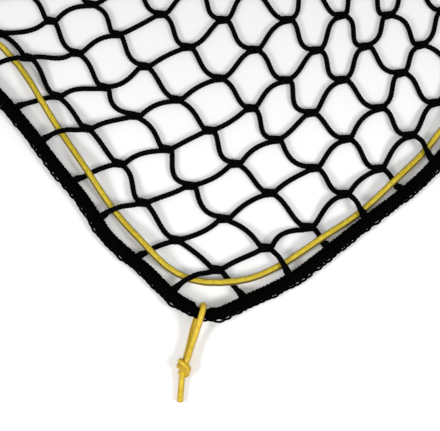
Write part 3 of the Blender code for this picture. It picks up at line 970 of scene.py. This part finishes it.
# ---------------------------------------------------------------- netting
class Joint:
    """A place where two strands pass through each other."""

    PORT_ACROSS = 0.00225
    EAST_ALONG = 0.0050
    EAST_LEAVE = (0.66, 0.75)
    WEST_ALONG = 0.0062
    WEST_LEAVE = (0.90, 0.43)
    TURN = 5.0

    def __init__(self, layout: NetLayout, a: int, b: int, lift: float) -> None:
        """Place the joint.

        Args:
            layout: The net's layout.
            a: Its column.
            b: Its row.
            lift: How far it is raised.
        """
        self.centre = layout.place(a, b) + (listed(DRIFT_X, a, b), listed(DRIFT_Y, a, b))
        even = unit(layout.plan(a + 1, b) + layout.plan(a, b - 1)
                    - layout.plan(a - 1, b) - layout.plan(a, b + 1))
        turn = math.radians(self.TURN)
        self.along = even * math.cos(turn) + left_of(even) * math.sin(turn)
        self.across = left_of(self.along)
        self.lift = lift

    def mouth(self, port: Port) -> tuple[Points, Points]:
        """Find where a strand leaves the joint.

        Args:
            port: The opening.

        Returns:
            The opening's middle on the plan, and the direction in which the strand leaves.
        """
        side_along, side_across = port.value
        east = side_along > 0.0
        reach = self.EAST_ALONG if east else self.WEST_ALONG
        forwards, sideways = self.EAST_LEAVE if east else self.WEST_LEAVE
        middle = (self.centre + self.along * side_along * reach
                  + self.across * side_across * self.PORT_ACROSS)
        leave = unit(self.along * side_along * forwards + self.across * side_across * sideways)
        return middle, leave


@dataclass
class RimBar:
    """A bar from an outer joint to the border, as a plan curve with heights."""

    joint: tuple[int, int]
    port: Port
    over: bool
    path: Points | None = None
    root: Points | None = None
    line_share: float = 0.0
    line_distance: float = 0.0


# Where along a joint each yarn that crosses it starts, and where it ends.
LACING_YARNS = ((-0.0034, 0.0004), (0.0002, -0.0030), (0.0012, 0.0044))


@dataclass
class NetPanel:
    """The netting: staircase strands of braided twine that meet at every joint."""

    layout: NetLayout
    border: RimLoop
    line: RimLoop
    twine_radius: float = 0.0024
    joint_lift: float = 0.0024
    corner_lift: float = 0.0010
    curl: float = 0.34
    samples: int = 24
    pass_reach: float = 0.0020
    pass_weave: float = 0.0004
    over_line: float = 0.0068
    crossing_half: float = 0.0042
    least_share: float = 0.05
    rope_floor: float = 0.0032
    swell: float = 0.16
    swell_reach: float = 0.0085
    root_swell: float = 0.45
    root_reach: float = 0.0090
    into_rope: float = 0.0050
    sides: int = 10
    relief: float = 0.00019
    most_triangles: int = 196000
    fewest_rings: int = 8
    lacing_yarn: tuple[float, float] = (0.00085, 0.00068)
    lacing_sides: int = 6
    lacing_steps: int = 7
    lacing_half_width: float = 0.0034
    lacing_rise: float = 0.86
    flat: tuple[float, float] = (0.60, 0.70)
    open_share: float = 0.36

    def __post_init__(self) -> None:
        """Lay out the joints and the bars that run to the border."""
        self.bars = self._rim_bars()
        climbing = {bar.joint for bar in self.bars if bar.over}
        self.joints: dict[tuple[int, int], Joint] = {}
        for a in range(self.layout.columns):
            for b in range(self.layout.rows):
                lift = 0.0
                if (a, b) in climbing:
                    at_corner = a in (0, self.layout.last_column) and b in (0, self.layout.last_row)
                    lift = self.corner_lift if at_corner else self.joint_lift
                self.joints[a, b] = Joint(self.layout, a, b, lift)
        for bar in self.bars:
            self._run(bar)
        self.by_end = {(bar.joint, bar.port): bar for bar in self.bars}

    def _rim_bars(self) -> list[RimBar]:
        """List the bars to the border, over the line and under it by turns.

        Returns:
            The bars, without their paths.
        """
        columns, rows = range(self.layout.columns), range(self.layout.rows)
        last_a, last_b = self.layout.last_column, self.layout.last_row
        bars = [RimBar((a, 0), Port.SOUTH, a % 2 == 1) for a in columns]
        bars += [RimBar((last_a, b), Port.EAST, b % 2 == 1) for b in rows]
        bars += [RimBar((a, last_b), Port.NORTH, a % 2 == 0) for a in columns]
        bars += [RimBar((0, b), Port.WEST, b % 2 == 0) for b in rows]
        return bars

    def _rope_address(self, bar: RimBar) -> tuple[float, float]:
        """Find where on the border a bar ends.

        Args:
            bar: The bar.

        Returns:
            The end's address before the dips.
        """
        layout, (a, b) = self.layout, bar.joint
        if bar.port is Port.SOUTH:
            return a - layout.south_shift, -layout.margin_y
        if bar.port is Port.NORTH:
            return a, layout.last_row + layout.margin_y
        if bar.port is Port.EAST:
            return layout.last_column + layout.margin_x, b
        drop = layout.west_drop if bar.over else layout.west_drop_under
        return -layout.margin_x, b - drop

    def _run(self, bar: RimBar) -> None:
        """Work out a border bar's path from its joint, over or under the line, into the rope.

        Args:
            bar: The bar, which gets its path.
        """
        joint = self.joints[bar.joint]
        rope, run = self.border.foot(self.layout.place(*self._rope_address(bar)))
        inwards = left_of(run)
        end = rope + inwards * self.layout.half_width
        start, leave = joint.mouth(bar.port)
        reach = float(np.linalg.norm(end - start)) * self.curl
        t = np.linspace(0.0, 1.0, self.samples * 2)
        plan = bezier(start, start + leave * reach, end + inwards * reach, end, t)
        bar.line_share, bar.line_distance = self.line.crossing(plan)
        span = float(np.linalg.norm(end - start))
        half_share = self.crossing_half / span
        level = self.over_line if bar.over else 0.0
        before = smooth(t / max(bar.line_share - half_share, self.least_share))
        after = smooth((t - bar.line_share - half_share)
                       / max(1.0 - bar.line_share - half_share, self.least_share))
        height = joint.lift + (level - joint.lift) * before + (self.rope_floor - level) * after
        inside = end - inwards * self.into_rope
        plan = np.vstack((plan, inside))
        bar.root = end
        height = np.append(height, self.rope_floor)
        bar.path = np.column_stack((plan, height + self.twine_radius))

    def _between(self, start: Joint, port: Port, end: Joint, end_port: Port,
                 hang: float) -> Points:
        """Path of a bar between two joints.

        Args:
            start: The joint that it leaves.
            port: The port there.
            end: The joint that it reaches.
            end_port: The port there.
            hang: How far its middle hangs to the left of its run.

        Returns:
            The bar's path.
        """
        p0, leave = start.mouth(port)
        p3, back = end.mouth(end_port)
        reach = float(np.linalg.norm(p3 - p0)) * self.curl
        aside = left_of(unit(p3 - p0)) * hang * HANDLE_GAIN
        t = np.linspace(0.0, 1.0, self.samples)
        plan = bezier(p0, p0 + leave * reach + aside, p3 + back * reach + aside, p3, t)
        height = start.lift + (end.lift - start.lift) * smooth(t) + self.twine_radius
        return np.column_stack((plan, height))

    def _through(self, joint: Joint, port: Port, end_port: Port) -> Points:
        """Path of a strand through a joint, rising over its neighbour and dipping under it.

        Args:
            joint: The joint.
            port: The opening at which the strand comes in.
            end_port: The opening at which it leaves.

        Returns:
            The strand's path between the two.
        """
        p0, leave = joint.mouth(port)
        p3, onward = joint.mouth(end_port)
        t = np.linspace(0.0, 1.0, self.samples // 2)[1:-1]
        plan = bezier(p0, p0 - leave * self.pass_reach, p3 - onward * self.pass_reach, p3, t)
        wave = np.sin(2.0 * math.pi * t) * (1.0 if port is Port.NORTH else -1.0)
        height = joint.lift + self.twine_radius + self.pass_weave * (1.0 + wave)
        return np.column_stack((plan, height))

    def _swell(self, centres: Points) -> Points:
        """How much thicker the twine is near joints and near its ends in the rope.

        Args:
            centres: Places along the twine.

        Returns:
            The added share of its radius at each place.
        """
        middles = np.array([joint.centre for joint in self.joints.values()])
        roots = np.array([bar.root for bar in self.bars])

        def nearness(places: Points, reach: float) -> Points:
            """Rise from 0, at a reach away, to 1 at the nearest of some places."""
            away = np.linalg.norm(centres[:, None, :2] - places[None], axis=2).min(axis=1)
            return smooth(1.0 - away / reach)

        return (self.swell * nearness(middles, self.swell_reach)
                + self.root_swell * nearness(roots, self.root_reach))

    def _strand(self, address: tuple[int, int], port: Port) -> Points:
        """Follow one strand down the staircase from a border bar to another.

        Args:
            address: The first joint.
            port: The side at which the strand comes in, north or west.

        Returns:
            The strand's path.
        """
        pieces = [self.by_end[address, port].path[::-1]]
        while True:
            joint = self.joints[address]
            out = Port.EAST if port is Port.NORTH else Port.SOUTH
            pieces.append(self._through(joint, port, out))
            if (address, out) in self.by_end:
                pieces.append(self.by_end[address, out].path)
                return np.vstack(pieces)
            step = (1, 0) if out is Port.EAST else (0, -1)
            following = (address[0] + step[0], address[1] + step[1])
            port = Port.WEST if out is Port.EAST else Port.NORTH
            if out is Port.EAST:
                hang = listed(SLACK_EASTWARDS, *address)
            else:
                hang = -listed(SLACK_NORTHWARDS, *following)
            pieces.append(self._between(joint, out, self.joints[following], port, hang))
            address = following

    def build(self, material: bpy.types.Material) -> bpy.types.Object:
        """Make the netting.

        Args:
            material: The twine's finish.

        Returns:
            The net, in place of its solid.
        """
        starts = [((a, self.layout.last_row), Port.NORTH) for a in range(self.layout.columns)]
        starts += [((0, b), Port.WEST) for b in range(self.layout.rows)]
        strands = [self._strand(address, port) for address, port in starts]
        total = sum(float(travelled(path)[-1]) for path in strands)
        step = total / (self.most_triangles / (2 * self.sides) - len(strands))
        tubes = TubeMesh()
        for path in strands:
            rings = max(self.fewest_rings, int(travelled(path)[-1] / step))
            centres = resample(path, rings)
            swelled = self.twine_radius * (1.0 + self._swell(centres))
            centres[:, 2] += swelled - self.twine_radius
            tubes.add(centres, np.column_stack((swelled, swelled)), self.sides,
                      relief=self.relief, floor=FLOOR_GAP)
        LOG.info("netting: %.2f m of twine, a ring every %.2f mm", total, step * MILLIMETRES)
        piece = tubes.make("netting", material)
        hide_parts("mesh_panel")
        return piece

    def build_lacing(self, material: bpy.types.Material) -> bpy.types.Object:
        """Make the yarns that cross from strand to strand over and under each joint.

        Args:
            material: The twine's finish.

        Returns:
            The crossing yarns.
        """
        tubes = TubeMesh()
        way = np.linspace(0.0, 1.0, self.lacing_steps)
        across = self.lacing_half_width * np.cos(math.pi * way)
        rise = self.twine_radius * (1.0 + self.lacing_rise * np.sin(math.pi * way))
        for joint in self.joints.values():
            for start, end in LACING_YARNS:
                along = start + (end - start) * way
                plan = joint.centre + joint.along * along[:, None] + joint.across * across[:, None]
                path = np.column_stack((plan, joint.lift + rise + self.pass_weave))
                tubes.add(path, self.lacing_yarn, self.lacing_sides)
        return tubes.make("joint_lacing", material)


# ---------------------------------------------------------------- border
@dataclass
class BorderRope:
    """The border: a rope, the thread that overcasts it and the looped thread at its edge."""

    layout: NetLayout
    loop: RimLoop
    half_width: float = 0.0053
    half_height: float = 0.0048
    middle: float = 0.0055
    underside: float = 0.0006
    curve_parts: int = 8
    heading_reach: float = 0.002
    ring_step: float = 0.0024
    sides: int = 24
    relief: float = 0.00022
    tie_lift: float = 0.0058
    tie_level: float = 0.008
    tie_reach: float = 0.040
    tie_pinch: float = 0.0014
    tie_waist: float = 0.0016
    waist_level: float = 0.0035
    waist_reach: float = 0.0100
    overcast_pitch: float = 0.0034
    overcast_steps: int = 16
    overcast_sway: float = 0.00045
    thread: tuple[float, float] = (0.00095, 0.00042)
    thread_out: float = 0.7
    thread_sides: int = 6
    thread_relief: float = 0.00006
    edge_pitch: float = 0.0058
    edge_loop: float = 0.0019
    edge_sizes: tuple[float, float] = (0.35, 1.15)
    edge_sink: float = 0.0002
    edge_drop: float = 0.0012
    edge_wave: float = 0.0006
    edge_steps: int = 22
    edge_thread: float = 0.00110
    seed: int = 11

    def __post_init__(self) -> None:
        """Draw the rope's middle as a smooth curve with its heights."""
        curve = rounded(self.loop.points, closed=True, parts=self.curve_parts)
        self.smooth_loop = RimLoop(curve)
        ties = [self.layout.tie_place(self.loop, corner) for corner in CORNERS]
        self.tie_places = [self.smooth_loop.nearest(self.loop.at(place)) for place in ties]

    def _away(self, distance: Points) -> Points:
        """How far the nearest tie is from distances along the rope."""
        return np.min([self.smooth_loop.apart(distance, place) for place in self.tie_places],
                      axis=0)

    def sections(self, distance: Points) -> tuple[Points, Points, Points]:
        """Shape the rope, which a tie lifts, presses flatter and draws outwards.

        Args:
            distance: Distances along the rope.

        Returns:
            The rope's middle, half width and half height at each distance.
        """
        away = self._away(distance)
        lifted = smooth((self.tie_reach - away) / (self.tie_reach - self.tie_level))
        drawn = smooth((self.waist_reach - away) / (self.waist_reach - self.waist_level))
        height = self.middle + (self.tie_lift - self.tie_pinch) * lifted
        waist = self.tie_waist * drawn
        centres = np.column_stack((self.smooth_loop.at(distance), height))
        centres += self._outwards(distance) * waist[:, None]
        return centres, self.half_width - waist, self.half_height - self.tie_pinch * lifted

    def build_rope(self, material: bpy.types.Material) -> bpy.types.Object:
        """Make the rope itself.

        Args:
            material: Its finish.

        Returns:
            The rope, in place of its solid.
        """
        count = TILE_RINGS * round(self.smooth_loop.length / self.ring_step / TILE_RINGS)
        distance = np.arange(count) * self.smooth_loop.length / count
        centres, half_width, half_height = self.sections(distance)
        radii = np.column_stack((half_width, half_height))
        tubes = TubeMesh()
        tubes.add(centres, radii, self.sides, relief=self.relief, closed=True,
                  floor=self.underside)
        piece = tubes.make("border_rope_core", material)
        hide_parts("border_rope")
        return piece

    def _outwards(self, distance: Points) -> Points:
        """Find level directions away from the net.

        Args:
            distance: Distances along the rope.

        Returns:
            One unit vector for each distance.
        """
        reach = self.heading_reach
        ahead = unit(self.smooth_loop.at(distance + reach) - self.smooth_loop.at(distance - reach))
        return np.column_stack((-left_of(ahead), np.zeros(len(distance))))

    def build_overcast(self, material: bpy.types.Material) -> bpy.types.Object:
        """Make the thread wound round the rope.

        Args:
            material: The thread's finish.

        Returns:
            The winding.
        """
        turns = round(self.smooth_loop.length / self.overcast_pitch)
        count = turns * self.overcast_steps
        distance = np.arange(count) * self.smooth_loop.length / count
        rng = np.random.default_rng(self.seed)
        sway = np.repeat(rng.normal(0.0, self.overcast_sway, turns), self.overcast_steps)
        angle = 2.0 * math.pi * np.arange(count) / self.overcast_steps
        centres, half_width, half_height = self.sections(distance + sway)
        outwards = self._outwards(distance + sway)
        wide = (half_width + self.thread[1] * self.thread_out) * np.cos(angle)
        high = (half_height + self.thread[1] * self.thread_out) * np.sin(angle)
        path = centres + outwards * wide[:, None] + UP * high[:, None]
        path[:, 2] = np.maximum(path[:, 2], self.thread[1] + FLOOR_GAP)
        facing = unit(outwards * np.cos(angle)[:, None] + UP * np.sin(angle)[:, None])
        tubes = TubeMesh()
        tubes.add(path, self.thread, self.thread_sides, relief=self.thread_relief, ups=facing,
                  closed=True, floor=FLOOR_GAP)
        return tubes.make("border_overcast_thread", material)

    def build_edge(self, material: bpy.types.Material) -> bpy.types.Object:
        """Make the thread that runs in small open loops along the outer edge.

        Args:
            material: The thread's finish.

        Returns:
            The looped thread.
        """
        loops = round(self.smooth_loop.length / self.edge_pitch)
        count = loops * self.edge_steps
        distance = np.arange(count) * self.smooth_loop.length / count
        rng = np.random.default_rng(self.seed + 1)
        size = np.repeat(rng.uniform(*self.edge_sizes, loops), self.edge_steps)
        angle = 2.0 * math.pi * np.arange(count) / self.edge_steps
        backwards = -self.edge_loop * size * np.sin(angle)
        centres, half_width, _ = self.sections(distance + backwards)
        out = half_width - self.edge_sink + self.edge_loop * size * (1.0 - np.cos(angle)) / 2
        height = self.edge_wave * np.sin(angle) - self.edge_drop
        path = centres + self._outwards(distance + backwards) * out[:, None] + UP * height[:, None]
        tubes = TubeMesh()
        tubes.add(path, (self.edge_thread, self.edge_thread), self.thread_sides, closed=True)
        return tubes.make("border_edge_thread", material)


# ---------------------------------------------------------------- yellow line
@dataclass
class PerimeterLine:
    """The yellow line, low under each bar that passes over it and high over the next."""

    loop: RimLoop
    bars: Sequence[RimBar]
    radius: float = 0.0030
    low: float = 0.0032
    high: float = 0.0083
    ring_step: float = 0.0017
    sides: int = 24
    relief: float = 0.00008

    def build(self, material: bpy.types.Material) -> bpy.types.Object:
        """Make the line.

        Args:
            material: Its finish.

        Returns:
            The line, in place of its solid.
        """
        crossings = sorted((bar.line_distance, bar.over) for bar in self.bars)
        places = np.array([place for place, _ in crossings])
        levels = np.array([self.low if over else self.high for _, over in crossings])
        count = TILE_RINGS * round(self.loop.length / self.ring_step / TILE_RINGS)
        distance = np.arange(count) * self.loop.length / count
        after = np.searchsorted(places, distance) % len(places)
        before = after - 1
        span = (places[after] - places[before]) % self.loop.length
        share = ((distance - places[before]) % self.loop.length) / span
        ease = 0.5 - 0.5 * np.cos(math.pi * share)
        height = levels[before] + (levels[after] - levels[before]) * ease
        centres = np.column_stack((self.loop.at(distance), height))
        tubes = TubeMesh()
        tubes.add(centres, (self.radius, self.radius), self.sides, relief=self.relief,
                  closed=True, floor=FLOOR_GAP)
        piece = tubes.make("yellow_line", material)
        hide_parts("perimeter_line")
        return piece


# ---------------------------------------------------------------- corner ties
# The loop's route from the knot over the border and back under it.
TIE_LOOP = np.array([
    # out, side, height
    (0.0465, 0.0010, 0.0079),
    (0.0400, 0.0012, 0.0081),
    (0.0320, 0.0012, 0.0082),
    (0.0245, 0.0016, 0.0089),
    (0.0167, 0.0022, 0.0115),
    (0.0101, 0.0026, 0.0149),
    (0.0047, 0.0027, 0.0171),
    (-0.0001, 0.0026, 0.0171),
    (-0.0036, 0.0019, 0.0148),
    (-0.0056, 0.0009, 0.0108),
    (-0.0051, -0.0003, 0.0066),
    (-0.0021, -0.0014, 0.0034),
    (0.0029, -0.0022, 0.0028),
    (0.0160, -0.0024, 0.0028),
    (0.0300, -0.0014, 0.0028),
    (0.0390, -0.0012, 0.0028),
    (0.0465, -0.0010, 0.0029),
])

# The other leg's route through the knot.
TIE_CORE = np.array([
    # out, side, height
    (0.0505, 0.0006, 0.0058),
    (0.0535, 0.0002, 0.0056),
])


@dataclass
class CornerTie:
    """A tie: a loop round the border, its end wound round the other leg, and a tail."""

    corner: Corner
    rope: BorderRope
    radius: float = 0.0025
    ring_step: float = 0.0012
    sides: int = 16
    relief: float = 0.00018
    knot_start: float = 0.0476
    knot_end: float = 0.0560
    knot_turns: float = 2.0
    knot_phase: float = 220.0
    knot_steps: int = 10
    knot_half_width: float = 0.0041
    knot_half_height: float = 0.0029
    knot_middle: float = 0.0056
    knot_slant: float = 0.0016
    tail_start: float = 0.0560
    tail_length: float = 0.0245
    tail_steps: int = 5
    tail_gap: float = 0.0004
    tail_settling: float = 2.0
    curve_parts: int = 12
    heading_reach: float = 0.004
    end_tapers: tuple[float, float] = (0.72, 0.86)
    floor_gap: float = 0.0002
    leaves_out: float = 0.030
    leaves_height: float = 0.0050
    cord_length: float = 0.20
    level_row: int = 2

    def _route(self) -> Points:
        """Lay out the cord's route.

        Returns:
            Its points as out, side and height, from the wound end to the tail's end.
        """
        shares = np.arange(int(self.knot_turns * self.knot_steps) + 1)
        shares = shares / len(shares)
        turn = math.radians(self.knot_phase) - 2.0 * math.pi * self.knot_turns * (1.0 - shares)
        out = (self.knot_end + (self.knot_start - self.knot_end) * shares
               + self.knot_slant * np.cos(turn))
        winding = np.column_stack((out, self.knot_half_width * np.cos(turn),
                                   self.knot_middle + self.knot_half_height * np.sin(turn)))
        way = self.tail_length * (np.arange(self.tail_steps) + 1) / self.tail_steps
        turned = math.radians(self.corner.tail_turn)
        drop = self.radius + self.tail_gap - self.knot_middle
        lowered = self.knot_middle + drop * smooth(self.tail_settling * way / self.tail_length)
        tail = np.column_stack((self.tail_start + way * math.cos(turned),
                                way * math.sin(turned), lowered))
        return np.vstack((winding, TIE_LOOP[::-1], TIE_CORE, tail))

    def build(self, material: bpy.types.Material) -> bpy.types.Object:
        """Make the tie.

        Args:
            material: The cord's finish.

        Returns:
            The tie, in place of its solid.
        """
        layout, loop = self.rope.layout, self.rope.loop
        distance, reach = layout.tie_place(loop, self.corner), self.heading_reach
        ahead = unit(loop.at(distance + reach) - loop.at(distance - reach))
        turn = math.radians(self.corner.tie_turn)
        square = -left_of(ahead)
        out = np.array((square[0] * math.cos(turn) - square[1] * math.sin(turn),
                        square[0] * math.sin(turn) + square[1] * math.cos(turn)))
        side = left_of(out)
        foot = loop.at(distance)

        def place(row: Points) -> Points:
            """Turn out, side and height into places."""
            plan = foot + out * row[..., :1] + side * row[..., 1:2]
            return np.concatenate((plan, row[..., 2:]), axis=-1)

        curve = rounded(place(self._route()), closed=False, parts=self.curve_parts)
        length = float(travelled(curve)[-1])
        centres = resample(curve, round(length / self.ring_step))
        taper = np.ones(len(centres))
        taper[0], taper[-1] = self.end_tapers
        radii = np.outer(taper, (self.radius, self.radius))
        tubes = TubeMesh()
        on_leg = place(TIE_LOOP[self.level_row])
        level = int(np.argmin(np.linalg.norm(centres - on_leg, axis=1)))
        tubes.add(centres, radii, self.sides, relief=self.relief,
                  ups=carried_ups(centres, level), floor=self.floor_gap)
        piece = tubes.make("tie_cord_" + self.corner.name, material)
        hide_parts("corner_tie_" + self.corner.name)
        LOG.info("%s: %.3f m of cord", piece.name, length)
        return piece


# ---------------------------------------------------------------- studio
@dataclass(frozen=True)
class Lamp:
    """A soft square light that shines at the net."""

    name: str
    place: tuple[float, float, float]
    size: float
    power: float

    def build(self) -> None:
        """Add the light to the scene."""
        data = bpy.data.lights.new(self.name, "AREA")
        data.shape = "SQUARE"
        data.size = self.size
        data.energy = self.power
        lamp = bpy.data.objects.new(self.name, data)
        lamp.location = self.place
        lamp.rotation_euler = (-Vector(self.place)).to_track_quat("-Z", "Y").to_euler()
        bpy.context.scene.collection.objects.link(lamp)


LAMPS = (
    # name, place, size, power
    Lamp("key_light", (-0.75, -0.80, 1.50), 0.80, 6.2),
    Lamp("left_light", (-1.30, -0.10, 0.72), 0.30, 9.0),
    Lamp("right_light", (-0.10, -1.30, 0.72), 0.30, 9.0),
)


@dataclass(frozen=True)
class Studio:
    """The floor, the lights and the camera."""

    azimuth: float = -45.0
    elevation: float = 65.0
    distance: float = 1.10
    lens: float = 100.0
    sensor: float = 36.0
    aim: tuple[float, float] = (0.0410, 0.0372)
    floor_size: float = 14.0
    floor_colour: tuple[float, float, float] = (0.90, 0.90, 0.895)
    floor_roughness: float = 0.85
    floor_specular: float = 0.2
    room_light: float = 0.42

    def floor(self) -> bpy.types.Object:
        """Make the pale floor.

        Returns:
            The floor, which stays out of the model.
        """
        half = self.floor_size / 2
        mesh = bpy.data.meshes.new("floor")
        mesh.from_pydata([(-half, -half, 0.0), (half, -half, 0.0), (half, half, 0.0),
                          (-half, half, 0.0)], [], [(0, 1, 2, 3)])
        material = bpy.data.materials.new("pale_floor")
        material.use_nodes = True
        shader = material.node_tree.nodes["Principled BSDF"]
        shader.inputs["Base Color"].default_value = (*self.floor_colour, 1.0)
        shader.inputs["Roughness"].default_value = self.floor_roughness
        shader.inputs["Specular IOR Level"].default_value = self.floor_specular
        mesh.materials.append(material)
        floor = bpy.data.objects.new("floor", mesh)
        bpy.context.scene.collection.objects.link(floor)
        return floor

    def lights(self) -> None:
        """Light the net from a pale room and from the camera's side, so that shadows fall inwards."""
        scene = bpy.context.scene
        for lamp in LAMPS:
            lamp.build()
        world = bpy.data.worlds.new("pale_room")
        world.use_nodes = True
        background = world.node_tree.nodes["Background"]
        background.inputs["Color"].default_value = (1.0, 1.0, 1.0, 1.0)
        background.inputs["Strength"].default_value = self.room_light
        scene.world = world
        scene.view_settings.view_transform = "Standard"

    def camera(self, centre: Points) -> bpy.types.Object:
        """Look at the net as the photograph does.

        Args:
            centre: The middle of the net, measured from its first joint as the aim is.

        Returns:
            The camera.
        """
        turn, rise = math.radians(self.azimuth), math.radians(self.elevation)
        back = Vector((math.sin(turn) * math.cos(rise), -math.cos(turn) * math.cos(rise),
                       math.sin(rise)))
        data = bpy.data.cameras.new("camera")
        data.lens = self.lens
        data.sensor_width = self.sensor
        camera = bpy.data.objects.new("camera", data)
        aim = Vector((self.aim[0] - centre[0], self.aim[1] - centre[1], 0.0))
        camera.location = aim + back * self.distance
        camera.rotation_euler = (-back).to_track_quat("-Z", "Y").to_euler()
        bpy.context.scene.collection.objects.link(camera)
        bpy.context.scene.camera = camera
        return camera


def report(piece: bpy.types.Object) -> None:
    """Log a piece that has been built."""
    LOG.info("%s: %d triangles", piece.name, len(piece.data.polygons))


def main() -> None:
    """Build and dress the net, piece by piece."""
    logging.basicConfig(level=logging.INFO, format="%(name)s %(message)s")
    studio = Studio()
    layout = NetLayout()
    studio.camera(layout.centre())
    studio.floor()
    studio.lights()
    effects = YarnEffects()
    twine, rope_look = TWINE_FINISH.build(effects), ROPE_FINISH.build(effects)
    thread, line_look = THREAD_FINISH.build(effects), LINE_FINISH.build(effects)
    amber = TIE_FINISH.build(effects)

    rope = BorderRope(layout, layout.border_loop())
    for corner in CORNERS:
        report(CornerTie(corner, rope).build(amber))
    panel = NetPanel(layout, rope.loop, layout.line_loop())
    report(panel.build(twine))
    report(panel.build_lacing(twine))
    report(rope.build_rope(rope_look))
    report(rope.build_overcast(thread))
    report(rope.build_edge(thread))
    report(PerimeterLine(panel.line, panel.bars).build(line_look))


if __name__ == "__main__":
    main()
